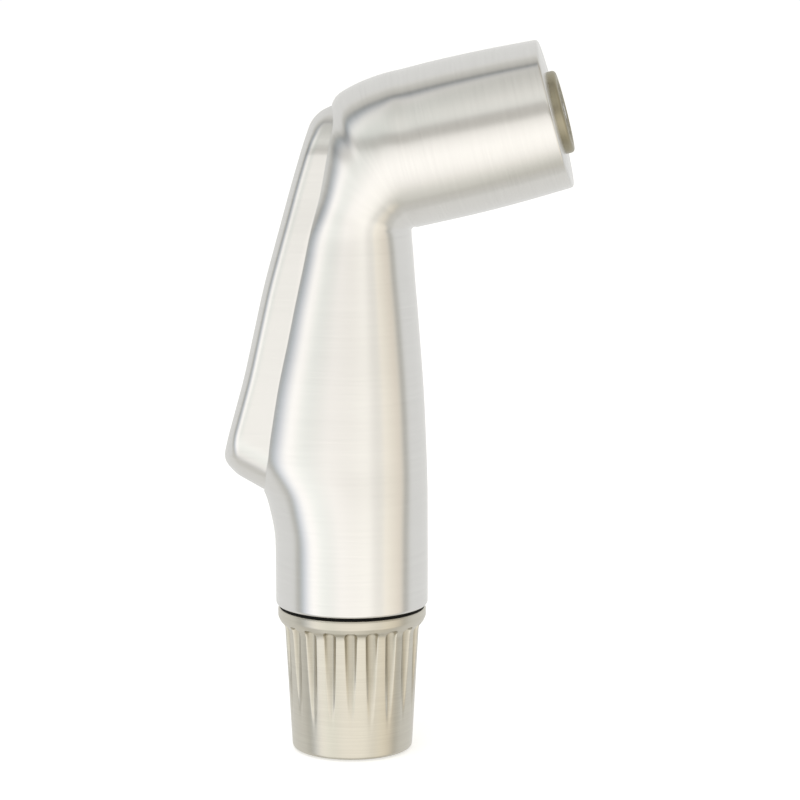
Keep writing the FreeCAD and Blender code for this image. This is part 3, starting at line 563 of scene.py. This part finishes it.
def lever_half(z):
    """Half outline from the front's inner edge round to the middle of the back."""
    xb, xf = back_x(z), front_x(z)
    r = min(LEVER_EDGE_R, 0.45 * (xf - xb), 0.9 * lever_hw(xb, z))
    rf = min(0.5, 0.2 * (xf - xb))
    hf = lever_hw(xf, z)
    pts = []
    for k in range(6):
        a = radians(90 - 18 * k)
        pts.append((xf - rf + rf * sin(a), hf - rf + rf * cos(a)))
    x0, x1 = xf - rf, xb + r
    for k in range(1, 26):
        x = x0 + (x1 - x0) * k / 26
        pts.append((x, lever_hw(x, z)))
    for k in range(19):
        a = radians(5 * k)
        x = xb + r - r * sin(a)
        pts.append((x, lever_hw(x, z) - r + r * cos(a)))
    yb = pts[-1][1]
    for k in range(1, 13):
        pts.append((xb, yb * (1 - k / 12)))
    return pts


def build_lever():
    bld = Builder()
    zs = list(np.arange(55.5, 66.0, 0.14)) + list(np.arange(66.0, 126.0, 0.9)) + list(np.arange(126.0, 135.4, 0.14)) + [135.45]
    pocket = (58.0, 133.2)
    zs = sorted(set([round(float(z), 3) for z in zs] + list(pocket)))
    rows = []
    for z in zs:
        half = lever_half(z)
        right = [(x, y, z) for x, y in half]
        left = [(x, -y, z) for x, y in reversed(half[:-1])]
        rows.append(right + left)
    P = np.array(rows)                      # from the front (+y side) round the back to the front (-y side): counter-clockwise
    bld.grid(P)
    k = P.shape[1]
    inner, rim = [], []
    for i, z in enumerate(zs):
        if pocket[0] <= z <= pocket[1]:
            xb, xf = back_x(z) + 1.8, front_x(z)
            wy = max(min(8.6, lever_hw(xb + 1.0, z) - 1.65, lever_hw(xf, z) - 1.2), 0.4)
            if z < 62:
                xb = max(xb, -24.0)
            r = min(1.6, 0.4 * max(xf - xb, 0.2), 0.8 * wy)
            half = [(xf, wy)] + [(xf + (xb + r - xf) * q / 6, wy) for q in range(1, 6)]
            half += [(xb + r - r * sin(radians(a)), wy - r + r * cos(radians(a))) for a in range(0, 91, 15)]
            half += [(xb, (wy - r) * (1 - q / 4)) for q in range(1, 5)]
            row = [(x, y, z) for x, y in half] + [(x, -y, z) for x, y in reversed(half[:-1])]
            inner.append(row)
            rim.append((P[i][0], np.array(row[0]), np.array(row[-1]), P[i][-1]))
    inner = np.array(inner)
    bld.grid(inner, flip=True)
    rim = np.array(rim)
    bld.grid(rim[:, [1, 0]], normals=np.tile([1.0, 0, 0], (len(rim), 2, 1)))
    bld.grid(rim[:, [3, 2]], normals=np.tile([1.0, 0, 0], (len(rim), 2, 1)))
    bld.polygon(inner[0], (0, 0, 1))
    bld.polygon(inner[-1], (0, 0, -1))
    for lo, hi in ((0, zs.index(pocket[0])), (zs.index(pocket[1]), len(zs) - 1)):
        strip = P[lo:hi + 1][:, [-1, 0]]
        bld.grid(strip, normals=np.tile([1.0, 0, 0], (len(strip), 2, 1)))
    bld.polygon(P[0], (0, 0, -1))
    bld.polygon(P[-1], (0, 0, 1))
    # post that pushes the valve's button
    d = unit(np.array([0.94354, 0, -0.33124]))
    s = np.array([0.33124, 0, 0.94354])
    at = np.array([-16.8, 0, 91.4]) - d * 0.2
    a = 2 * pi * np.arange(40) / 40
    rings = []
    for off, r in ((-1.35, 3.2), (-0.3, 3.2), (-0.08, 3.12), (0.0, 2.9)):
        rings.append(at + d * off + r * (np.outer(np.cos(a), s) + np.outer(np.sin(a), [0, 1, 0])))
    bld.grid(np.array(rings), closed=True, flip=True)
    bld.polygon(rings[-1], d)
    return bld.build("lever_body")


# ---------------------------------------------------------------------------
# turned parts
# ---------------------------------------------------------------------------
def lathe(name, prof, frame_of=None, n=160, rmod=None):
    """prof (r, s) from inside bottom, outside on the right of travel; frame_of maps (x, y, s) rows to the part's frame."""
    bld = Builder()
    prof = np.array(prof, float)
    nrm = profile_normals(prof)
    a = 2 * pi * np.arange(n) / n
    P = np.stack([prof[:, 0][:, None] * np.cos(a), prof[:, 0][:, None] * np.sin(a), np.repeat(prof[:, 1][:, None], n, 1)], axis=2)
    N = np.stack([nrm[:, 0][:, None] * np.cos(a), nrm[:, 0][:, None] * np.sin(a), np.repeat(nrm[:, 1][:, None], n, 1)], axis=2)
    if frame_of is not None:
        M, at = frame_of
        P = P @ M.T + at
        N = N @ M.T
    bld.grid(P, closed=True, normals=N)
    return bld.build(name)


def build_collar():
    bld = Builder()
    per, n = 40, 20 * 40
    outer = round_profile([(8.0, 0.0), (12.65, 0.0), (14.15, 26.0), (14.46, 26.75), (15.16, 27.48), (15.6, 28.45), (15.6, 30.3), (15.0, 30.3)],
                          [0.8, 3.0, 0.9, 1.2, 1.2, 0.45], 0.06)
    outer = subdivide(outer, 0.45)
    # finer where the flutes end
    prof = np.array(outer)
    a = radians(-90 + 5.0) + 2 * pi * np.arange(n) / n
    rel = (np.arange(n) % per) / per
    phi = (rel - (rel > 0.5)) * radians(18.0)
    rc, rf = 13.10 + 1.30, 1.30
    R = np.repeat(prof[:, 0][:, None], n, 1)
    Z = np.repeat(prof[:, 1][:, None], n, 1)
    dz = np.maximum(Z - 26.4, 0.0)
    side2 = rf ** 2 - dz ** 2 - (rc * np.sin(phi)[None, :]) ** 2
    cut = rc * np.cos(phi)[None, :] - np.sqrt(np.maximum(side2, 0.0))
    deep = np.where(side2 > 0, R - cut, -0.2 - 0.5 * np.sqrt(np.maximum(-side2, 0)))
    k = 0.10                               # softened edge of each flute
    depth = 0.5 * (deep + np.sqrt(deep ** 2 + k * k)) - 0.5 * k * 0.2
    depth = np.where((Z > 0.9) & (Z < 27.5), np.maximum(depth, 0.0), 0.0)
    fade = np.clip((Z - 1.2) / 2.5, 0, 1)
    R = R - depth * fade
    P = np.stack([R * np.cos(a), R * np.sin(a), Z], axis=2)
    N = grid_normals(P, True)
    bld.grid(P, closed=True, normals=N)
    top = [(15.0, 30.3), (10.75, 30.3), (10.53, 30.1), (10.53, 9.0), (8.0, 9.0), (8.0, 0.0)]
    m = 160
    b = 2 * pi * np.arange(m) / m
    for p, q in zip(top, top[1:]):
        seg = np.array([p, q])
        d = unit(seg[1] - seg[0])
        nr = np.array([d[1], -d[0]])
        PP = np.stack([seg[:, 0][:, None] * np.cos(b), seg[:, 0][:, None] * np.sin(b), np.repeat(seg[:, 1][:, None], m, 1)], axis=2)
        NN = np.stack([np.repeat(nr[0] * np.cos(b)[None], 2, 0), np.repeat(nr[0] * np.sin(b)[None], 2, 0), np.full((2, m), nr[1])], axis=2)
        bld.grid(PP, closed=True, normals=NN)
    return bld.build("collar_sleeve")


tilt = radians(HEAD_TILT)
HEAD_D = np.array([cos(tilt), 0, sin(tilt)])
HEAD_U = np.array([-sin(tilt), 0, cos(tilt)])
FACE_C = np.array([(FACE_BOTTOM[0] + FACE_TOP[0]) / 2, 0, (FACE_BOTTOM[1] + FACE_TOP[1]) / 2])
# columns: where local x, y, z (z = along the head) go; x cross y = z
HEAD_M = np.stack([np.cross([0, 1.0, 0], HEAD_D), [0, 1.0, 0], HEAD_D], axis=1)
HEAD = (HEAD_M, FACE_C)

body = build_body()
lever = build_lever()
collar = build_collar()
gasket = lathe("gasket_ring", subdivide(round_profile(
    [(10.65, 30.32), (15.3, 30.32), (15.3, 30.88), (10.65, 30.88), (10.65, 30.32)], [0.2, 0.2, 0.1], 0.03), 1.5))
insert = lathe("nozzle_ring", subdivide(round_profile(
    [(5.5, -9.0), (7.45, -9.0), (7.45, 0.03), (INSERT_R, 0.03), (INSERT_R, INSERT_PROUD), (6.6, INSERT_PROUD), (6.6, 0.6), (5.5, 0.6), (5.5, -9.0)],
    [0.2, 0.0, 0.15, 0.75, 0.3, 0.0, 0.0], 0.05), 0.6), HEAD)

for ob, node, bodyname, slot in ((body, "body_shell", "grip", "body_nickel"), (lever, "trigger_lever", "lever", "lever_nickel"),
                                 (collar, "hose_collar", "collar", "collar_nickel"), (gasket, "collar_gasket", "grip", "black_rubber"),
                                 (insert, "nozzle_insert", "grip", "nozzle_finish")):
    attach(ob, bodyname)
    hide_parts(node)


# ---------------------------------------------------------------------------
# materials
# ---------------------------------------------------------------------------
class Tree:
    def __init__(self, name):
        self.mat = bpy.data.materials.new(name)
        self.mat.use_nodes = True
        self.t = self.mat.node_tree
        self.t.nodes.clear()

    def n(self, kind, **kw):
        node = self.t.nodes.new(kind)
        for k, v in kw.items():
            if k.startswith("in_"):
                key = k[3:]
                node.inputs[int(key) if key.isdigit() else key.replace("_", " ")].default_value = v
            else:
                setattr(node, k, v)
        return node

    def link(self, a, b):
        self.t.links.new(a, b)

    def math(self, op, a, b=None, c=None, clamp=False):
        node = self.t.nodes.new("ShaderNodeMath")
        node.operation = op
        node.use_clamp = clamp
        for i, x in enumerate((a, b, c)):
            if x is None:
                continue
            if isinstance(x, (int, float)):
                node.inputs[i].default_value = x
            else:
                self.link(x, node.inputs[i])
        return node.outputs[0]


def brushed(name, color, color2, rough, aniso, fine, bump, along=False, tangent_uv=True, noise_rough=0.06, flutes=False):
    """Brushed metal: fine lines run along U of the piece's own 'brush' map, which is laid out in millimetres."""
    T = Tree(name)
    uv = T.n("ShaderNodeUVMap", uv_map="brush")
    sep = T.n("ShaderNodeSeparateXYZ")
    T.link(uv.outputs[0], sep.inputs[0])
    tex = T.n("ShaderNodeTexCoord")
    pos = T.n("ShaderNodeMapping", vector_type="POINT")
    pos.inputs["Scale"].default_value = (55.0, 55.0, 55.0)
    T.link(tex.outputs["Object"], pos.inputs[0])
    across = sep.outputs["X"] if along else sep.outputs["Y"]

    def lines(scale_w, scale_p, detail, seed):
        nz = T.n("ShaderNodeTexNoise", noise_dimensions="4D")
        T.link(pos.outputs[0], nz.inputs["Vector"])
        w = T.math("MULTIPLY_ADD", across, scale_w, seed)
        T.link(w, nz.inputs["W"])
        nz.inputs["Scale"].default_value = scale_p
        nz.inputs["Detail"].default_value = detail
        nz.inputs["Roughness"].default_value = 0.62
        return nz.outputs["Fac"]

    # 4D noise multiplies W by Scale as well, so W is given per unit of scale
    l1 = lines(fine / 1.6, 1.6, 3.0, 3.1)
    l2 = lines(fine * 0.28 / 0.8, 0.8, 2.0, 17.7)
    both = T.math("ADD", T.math("MULTIPLY", l1, 0.6), T.math("MULTIPLY", l2, 0.4))
    cen = T.math("SUBTRACT", both, 0.5)
    mix = T.n("ShaderNodeMix", data_type="RGBA")
    T.link(T.math("MULTIPLY_ADD", cen, 2.2, 0.5, clamp=True), mix.inputs[0])
    mix.inputs[6].default_value = (*color, 1)
    mix.inputs[7].default_value = (*color2, 1)
    cloud = T.n("ShaderNodeTexNoise", noise_dimensions="3D")
    T.link(tex.outputs["Object"], cloud.inputs["Vector"])
    cloud.inputs["Scale"].default_value = 60.0
    cloud.inputs["Detail"].default_value = 3.0
    r = T.math("ADD", T.math("MULTIPLY_ADD", cen, noise_rough * 2, rough), T.math("MULTIPLY", T.math("SUBTRACT", cloud.outputs["Fac"], 0.5), 0.05))
    bs = T.n("ShaderNodeBsdfPrincipled")
    bs.inputs["Metallic"].default_value = 1.0
    if flutes:                      # the floors of the flutes are rougher than the lands and carry painted shade: their colour is darkened with depth
        place = T.n("ShaderNodeSeparateXYZ")
        T.link(tex.outputs["Object"], place.inputs[0])
        far = T.math("SQRT", T.math("ADD", T.math("MULTIPLY", place.outputs["X"], place.outputs["X"]), T.math("MULTIPLY", place.outputs["Y"], place.outputs["Y"])))
        deep = T.math("MULTIPLY", T.math("SUBTRACT", T.math("MULTIPLY_ADD", place.outputs["Z"], 0.0577, 0.01258), far), 2200.0, clamp=True)
        deep = T.math("MULTIPLY", deep, T.math("MULTIPLY", T.math("SUBTRACT", 0.0272, place.outputs["Z"]), 3000.0, clamp=True))
        # painted shade: the base colour is multiplied by a darker tint (0.80, 0.79, 0.76) where the flutes cut deepest
        painted_flute_shade = T.n("ShaderNodeMix", data_type="RGBA", blend_type="MULTIPLY")
        T.link(deep, painted_flute_shade.inputs[0])
        T.link(mix.outputs[2], painted_flute_shade.inputs[6])
        painted_flute_shade.inputs[7].default_value = (0.80, 0.79, 0.76, 1)
        T.link(painted_flute_shade.outputs[2], bs.inputs["Base Color"])
        r = T.math("MULTIPLY_ADD", deep, 0.06, r)
    else:
        T.link(mix.outputs[2], bs.inputs["Base Color"])
    T.link(r, bs.inputs["Roughness"])
    bs.inputs["Anisotropic"].default_value = aniso
    if tangent_uv:
        tan_node = T.n("ShaderNodeTangent", direction_type="UV_MAP", uv_map="brush")
        T.link(tan_node.outputs[0], bs.inputs["Tangent"])
        bs.inputs["Anisotropic Rotation"].default_value = 0.0 if along else 0.25
    bp = T.n("ShaderNodeBump")
    bp.inputs["Strength"].default_value = 1.0
    bp.inputs["Distance"].default_value = bump
    T.link(both, bp.inputs["Height"])
    T.link(bp.outputs[0], bs.inputs["Normal"])
    out = T.n("ShaderNodeOutputMaterial")
    T.link(bs.outputs[0], out.inputs[0])
    return T.mat


def plain(name, color, color2, metallic, rough, scale=400.0, bump=0.00001, spread=0.08, spec=0.5):
    """Moulded, turned or rubber finish: mottled colour and roughness with a fine grain."""
    T = Tree(name)
    tex = T.n("ShaderNodeTexCoord")
    nz = T.n("ShaderNodeTexNoise")
    T.link(tex.outputs["Object"], nz.inputs["Vector"])
    nz.inputs["Scale"].default_value = scale
    nz.inputs["Detail"].default_value = 4.0
    big = T.n("ShaderNodeTexNoise")
    T.link(tex.outputs["Object"], big.inputs["Vector"])
    big.inputs["Scale"].default_value = scale / 9.0
    mix = T.n("ShaderNodeMix", data_type="RGBA")
    T.link(T.math("MULTIPLY_ADD", T.math("SUBTRACT", big.outputs["Fac"], 0.5), 2.0, 0.5, clamp=True), mix.inputs[0])
    mix.inputs[6].default_value = (*color, 1)
    mix.inputs[7].default_value = (*color2, 1)
    bs = T.n("ShaderNodeBsdfPrincipled")
    T.link(mix.outputs[2], bs.inputs["Base Color"])
    bs.inputs["Metallic"].default_value = metallic
    T.link(T.math("MULTIPLY_ADD", T.math("SUBTRACT", nz.outputs["Fac"], 0.5), spread * 2, rough), bs.inputs["Roughness"])
    bs.inputs["Specular IOR Level"].default_value = spec
    bp = T.n("ShaderNodeBump")
    bp.inputs["Distance"].default_value = bump
    bp.inputs["Strength"].default_value = 0.6
    T.link(nz.outputs["Fac"], bp.inputs["Height"])
    T.link(bp.outputs[0], bs.inputs["Normal"])
    out = T.n("ShaderNodeOutputMaterial")
    T.link(bs.outputs[0], out.inputs[0])
    return T.mat


M = {
    "body_nickel": brushed("body_nickel", (0.775, 0.768, 0.758), (0.835, 0.828, 0.818), 0.20, 0.80, 3.6, 0.000005),
    "lever_nickel": brushed("lever_nickel", (0.775, 0.768, 0.758), (0.835, 0.828, 0.818), 0.20, 0.78, 3.6, 0.000005),
    "collar_nickel": brushed("collar_nickel", (0.62, 0.59, 0.52), (0.72, 0.69, 0.61), 0.30, 0.45, 3.6, 0.000005, noise_rough=0.05, flutes=True),
    "nozzle_finish": brushed("nozzle_finish", (0.37, 0.34, 0.25), (0.44, 0.405, 0.305), 0.36, 0.30, 8.0, 0.000003),
    "spray_plate": plain("spray_plate", (0.27, 0.25, 0.19), (0.32, 0.30, 0.24), 0.0, 0.60, 500.0, spec=0.25),
    "screw_steel": plain("screw_steel", (0.60, 0.59, 0.57), (0.68, 0.67, 0.65), 1.0, 0.28, 900.0),
    "black_rubber": plain("black_rubber", (0.003, 0.003, 0.003), (0.007, 0.007, 0.006), 0.0, 0.7, 700.0, 0.00002, spec=0.12),
    "pin_steel": plain("pin_steel", (0.56, 0.56, 0.56), (0.64, 0.64, 0.63), 1.0, 0.25, 900.0),
    "valve_brass": plain("valve_brass", (0.68, 0.49, 0.22), (0.76, 0.57, 0.28), 1.0, 0.30, 700.0),
    "inner_plastic": plain("inner_plastic", (0.60, 0.60, 0.58), (0.68, 0.68, 0.66), 0.0, 0.45, 500.0),
}
BRUSHED = ("body_nickel", "lever_nickel", "collar_nickel", "nozzle_finish")
CAD_SPARE = {k: plain(k + "_turned", c, d, 1.0, 0.30, 600.0) for k, c, d in (
    ("body_nickel", (0.72, 0.71, 0.68), (0.78, 0.77, 0.74)), ("lever_nickel", (0.72, 0.71, 0.68), (0.78, 0.77, 0.74)),
    ("collar_nickel", (0.62, 0.59, 0.52), (0.70, 0.67, 0.60)), ("nozzle_finish", (0.37, 0.34, 0.25), (0.44, 0.405, 0.305)))}

for ob, slot in ((body, "body_nickel"), (lever, "lever_nickel"), (collar, "collar_nickel"), (gasket, "black_rubber"), (insert, "nozzle_finish")):
    ob.data.materials.append(M[slot])

node_slot = {}
for item in frame["record"].get("subparts", []):
    node_slot[item["node"]] = item.get("material_slot")
for name, ob in nodes.items():
    old = ob.data.materials[0].name.split(".")[0] if ob.data.materials and ob.data.materials[0] else ""
    slot = node_slot.get(name) or old
    if slot not in M:
        slot = "inner_plastic"
    mat = CAD_SPARE[slot] if slot in CAD_SPARE else M[slot]
    ob.data.materials.clear()
    ob.data.materials.append(mat)
    for p in ob.data.polygons:
        p.material_index = 0


# ---------------------------------------------------------------------------
# stage: pale floor, surrounding light, one soft key from above
# ---------------------------------------------------------------------------
CAM_AT = Vector((0.0656, -0.6096, 0.1679))
CAM_TO = Vector((0.01017, 0.0, 0.07434))
to_cam = (CAM_AT - CAM_TO).normalized()
flat = Vector((to_cam.x, to_cam.y, 0)).normalized()
right = Vector((-flat.y, flat.x, 0)) * -1.0
if right.x < 0:
    right = -right


def disc_mesh(name, radius, z, n=96):
    me = bpy.data.meshes.new(name)
    v = [(0, 0, z)] + [(radius * cos(2 * pi * k / n), radius * sin(2 * pi * k / n), z) for k in range(n)]
    me.from_pydata(v, [], [(0, k + 1, (k + 1) % n + 1) for k in range(n)])
    ob = bpy.data.objects.new(name, me)
    bpy.context.scene.collection.objects.link(ob)
    return ob


floor = disc_mesh("floor", 30.0, -0.0003)
T = Tree("pale_floor")
tex = T.n("ShaderNodeTexCoord")
nz = T.n("ShaderNodeTexNoise")
T.link(tex.outputs["Object"], nz.inputs["Vector"])
nz.inputs["Scale"].default_value = 3.0
mix = T.n("ShaderNodeMix", data_type="RGBA")
T.link(nz.outputs["Fac"], mix.inputs[0])
mix.inputs[6].default_value = (0.80, 0.80, 0.80, 1)
mix.inputs[7].default_value = (0.83, 0.83, 0.83, 1)
bs = T.n("ShaderNodeBsdfPrincipled")
T.link(mix.outputs[2], bs.inputs["Base Color"])
bs.inputs["Roughness"].default_value = 0.9
bs.inputs["Specular IOR Level"].default_value = 0.0
bs.inputs["Emission Color"].default_value = (1, 1, 1, 1)
bs.inputs["Emission Strength"].default_value = 0.52
out = T.n("ShaderNodeOutputMaterial")
T.link(bs.outputs[0], out.inputs[0])
floor.data.materials.append(T.mat)
floor.visible_glossy = False

# far pale dome, seen only directly, so that the horizon has no edge
dome_me = bpy.data.meshes.new("dome")
dv, df = [], []
DN, DM = 48, 16
for i in range(DM + 1):
    e = radians(-6 + 96 * i / DM)
    for k in range(DN):
        a = 2 * pi * k / DN
        dv.append((5.5 * cos(e) * cos(a), 5.5 * cos(e) * sin(a), 5.5 * sin(e)))
for i in range(DM):
    for k in range(DN):
        df.append((i * DN + k, (i + 1) * DN + k, (i + 1) * DN + (k + 1) % DN, i * DN + (k + 1) % DN))
dome_me.from_pydata(dv, [], df)
dome = bpy.data.objects.new("dome", dome_me)
bpy.context.scene.collection.objects.link(dome)
T = Tree("pale_dome")
em = T.n("ShaderNodeEmission")
em.inputs[0].default_value = (1, 1, 1, 1)
em.inputs[1].default_value = 1.03
out = T.n("ShaderNodeOutputMaterial")
T.link(em.outputs[0], out.inputs[0])
dome_me.materials.append(T.mat)
for flag in ("visible_diffuse", "visible_glossy", "visible_transmission", "visible_volume_scatter", "visible_shadow"):
    setattr(dome, flag, False)


def lin(c):
    c = c / 255.0
    return c / 12.92 if c <= 0.04045 else ((c + 0.055) / 1.055) ** 2.4


REFLECT = 0.755
# light that the surroundings send, by direction round the vertical (0 = towards the viewer)
ROUND = [(-180, 208, 208, 206), (-112, 212, 212, 209), (-100, 206, 207, 204), (-94, 186, 188, 186), (-88, 170, 173, 173), (-81, 178, 184, 188),
         (-74, 210, 213, 218), (-67, 236, 236, 236), (-61, 250, 248, 245), (-54, 248, 246, 242), (-46, 240, 241, 236), (-36, 236, 237, 232),
         (-26, 240, 239, 234), (-16, 248, 245, 240), (0, 248, 245, 239), (22, 248, 245, 238), (28, 245, 242, 235), (34, 235, 232, 225), (41, 228, 225, 218),
         (47, 229, 226, 218), (53, 237, 231, 219), (61, 231, 225, 212), (69, 225, 218, 205), (77, 219, 211, 198), (84, 214, 208, 196),
         (90, 196, 191, 181), (93, 178, 174, 165), (97, 182, 179, 171), (101, 204, 203, 197), (112, 211, 209, 205), (180, 208, 208, 206)]
# by elevation, in front
UPDOWN = [(-100, 198, 198, 198), (-80, 196, 195, 187), (-70, 200, 198, 190), (-63, 209, 207, 199), (-56, 222, 219, 211), (-48, 235, 232, 225), (-36, 247, 244, 237),
          (-22, 250, 247, 240), (-10, 242, 239, 232), (0, 228, 225, 218), (4, 215, 212, 205), (7, 187, 185, 178), (12, 178, 175, 168), (18, 180, 177, 170),
          (23, 185, 183, 177), (26, 207, 206, 199), (33, 214, 213, 206), (42, 211, 209, 202), (52, 201, 199, 192), (64, 193, 190, 183),
          (72, 186, 183, 176), (78, 181, 178, 171), (84, 176, 173, 166), (90, 172, 169, 162)]

world = bpy.data.worlds.new("surroundings")
bpy.context.scene.world = world
world.use_nodes = True
wt = world.node_tree
wt.nodes.clear()


def wn(kind, **kw):
    node = wt.nodes.new(kind)
    for k, v in kw.items():
        setattr(node, k, v)
    return node


def wmath(op, *xs, clamp=False):
    node = wn("ShaderNodeMath", operation=op, use_clamp=clamp)
    for i, x in enumerate(xs):
        if isinstance(x, (int, float)):
            node.inputs[i].default_value = x
        else:
            wt.links.new(x, node.inputs[i])
    return node.outputs[0]


def wdot(vec, c):
    node = wn("ShaderNodeVectorMath", operation="DOT_PRODUCT")
    wt.links.new(vec, node.inputs[0])
    node.inputs[1].default_value = tuple(c)
    return node.outputs["Value"]


def ramp(fac, stops, lo, hi, scale=1.0):
    node = wn("ShaderNodeValToRGB")
    cr = node.color_ramp
    cr.interpolation = "LINEAR"
    while len(cr.elements) > 1:
        cr.elements.remove(cr.elements[-1])
    first = True
    for x, r, g, b in stops:
        p = (x - lo) / (hi - lo)
        if first:
            e = cr.elements[0]
            e.position = p
            first = False
        else:
            e = cr.elements.new(p)
        e.color = (lin(r) * scale, lin(g) * scale, lin(b) * scale, 1)
    f = wmath("DIVIDE", wmath("SUBTRACT", fac, lo), hi - lo)
    wt.links.new(f, node.inputs[0])
    return node.outputs[0]


coord = wn("ShaderNodeTexCoord")
vec = wn("ShaderNodeVectorMath", operation="NORMALIZE")
wt.links.new(coord.outputs["Generated"], vec.inputs[0])
d = vec.outputs[0]
az = wmath("MULTIPLY", wmath("ARCTAN2", wdot(d, right), wdot(d, flat)), 180 / pi)
el = wmath("MULTIPLY", wmath("ARCSINE", wdot(d, (0, 0, 1))), 180 / pi)
psi = wmath("MULTIPLY", wmath("ARCCOSINE", wdot(d, to_cam)), 180 / pi)
round_c = ramp(az, ROUND, -180, 180)
# the strips at either side reach higher than the middle one
lift_l = wmath("MULTIPLY", wmath("MULTIPLY", wmath("SUBTRACT", -2.0, az), 1 / 38.0, clamp=True), 6.0)
lift_r = wmath("MULTIPLY", wmath("MULTIPLY", wmath("SUBTRACT", az, 8.0), 1 / 25.0, clamp=True), 5.0)
not_high = wmath("MULTIPLY", wmath("SUBTRACT", 22.0, el), 1 / 14.0, clamp=True)
updown_c = ramp(wmath("SUBTRACT", el, wmath("MULTIPLY", wmath("ADD", lift_l, lift_r), not_high)), UPDOWN, -100, 90)
prod = wn("ShaderNodeMix", data_type="RGBA", blend_type="MULTIPLY")
prod.inputs[0].default_value = 1.0
wt.links.new(round_c, prod.inputs[6])
wt.links.new(updown_c, prod.inputs[7])
norm = wn("ShaderNodeVectorMath", operation="MULTIPLY")
wt.links.new(prod.outputs[2], norm.inputs[0])
norm.inputs[1].default_value = (1 / lin(246), 1 / lin(243), 1 / lin(236))
# the left strip grows brighter above the horizon
strip = wmath("MAXIMUM", 0.0, wmath("SUBTRACT", 1.0, wmath("DIVIDE", wmath("ABSOLUTE", wmath("ADD", az, 58.0)), 17.0)))
above = wmath("MULTIPLY", wmath("ADD", el, 9.0), 1 / 9.0, clamp=True)
glow = wn("ShaderNodeVectorMath", operation="SCALE")
wt.links.new(norm.outputs[0], glow.inputs[0])
wt.links.new(wmath("MULTIPLY_ADD", wmath("MULTIPLY", strip, above), 0.17, 1.0), glow.inputs["Scale"])
front = glow.outputs[0]
# behind the object: a white backdrop, with a dark seam between it and the lights in front
psi_side = wmath("SUBTRACT", psi, wmath("MULTIPLY", wmath("MAXIMUM", wdot(d, right), 0.0), 3.0))
back_side = ramp(psi_side, [(0, 174, 172, 166), (80, 176, 174, 168), (87, 172, 170, 164), (92, 178, 177, 172), (97, 199, 199, 196), (104, 204, 204, 202), (180, 205, 205, 203)], 0, 180)
back_low = ramp(psi, [(0, 190, 188, 182), (80, 190, 188, 181), (88, 184, 182, 175), (95, 188, 186, 180), (102, 191, 190, 185), (108, 202, 201, 197), (180, 204, 204, 202)], 0, 180)
low = wmath("MULTIPLY", wmath("SUBTRACT", -26.0, el), 1 / 10.0, clamp=True)
mixb = wn("ShaderNodeMix", data_type="RGBA")
wt.links.new(low, mixb.inputs[0])
wt.links.new(back_side, mixb.inputs[6])
wt.links.new(back_low, mixb.inputs[7])
back_high = ramp(psi, [(0, 180, 178, 172), (80, 184, 182, 176), (88, 181, 179, 173), (94, 186, 185, 180), (100, 201, 200, 196), (107, 204, 204, 202), (180, 205, 205, 203)], 0, 180)
high = wmath("MULTIPLY", wmath("SUBTRACT", el, 36.0), 1 / 14.0, clamp=True)
mixh = wn("ShaderNodeMix", data_type="RGBA")
wt.links.new(high, mixh.inputs[0])
wt.links.new(mixb.outputs[2], mixh.inputs[6])
wt.links.new(back_high, mixh.inputs[7])
back = mixh.outputs[2]
sel = wmath("MULTIPLY", wmath("SUBTRACT", psi, 82.0), 1 / 8.0, clamp=True)
mixw = wn("ShaderNodeMix", data_type="RGBA")
wt.links.new(sel, mixw.inputs[0])
wt.links.new(front, mixw.inputs[6])
wt.links.new(back, mixw.inputs[7])
bg = wn("ShaderNodeBackground")
wt.links.new(mixw.outputs[2], bg.inputs[0])
bg.inputs[1].default_value = 1.0 / REFLECT
wo = wn("ShaderNodeOutputWorld")
wt.links.new(bg.outputs[0], wo.inputs[0])

key = bpy.data.lights.new("key", "AREA")
key.shape = "DISK"
key.size = 1.2
key.energy = 4.0
key.color = (1.0, 0.99, 0.97)
key_ob = bpy.data.objects.new("key", key)
bpy.context.scene.collection.objects.link(key_ob)
key_ob.location = (-0.35, -0.6, 1.6)
key_ob.rotation_euler = (Vector((0, 0, 0.07)) - key_ob.location).to_track_quat("-Z", "Y").to_euler()
key_ob.visible_glossy = False

# ---------------------------------------------------------------------------
# camera
# ---------------------------------------------------------------------------
cam = bpy.data.cameras.new("camera")
cam.lens = 133.5
cam.sensor_width = 36.0
cam.clip_start = 0.02
cam.clip_end = 200.0
cam_ob = bpy.data.objects.new("camera", cam)
bpy.context.scene.collection.objects.link(cam_ob)
cam_ob.location = CAM_AT
cam_ob.rotation_euler = (CAM_TO - CAM_AT).to_track_quat("-Z", "Y").to_euler()
bpy.context.scene.camera = cam_ob
bpy.context.scene.view_settings.view_transform = "Standard"
bpy.context.scene.view_settings.look = "None"
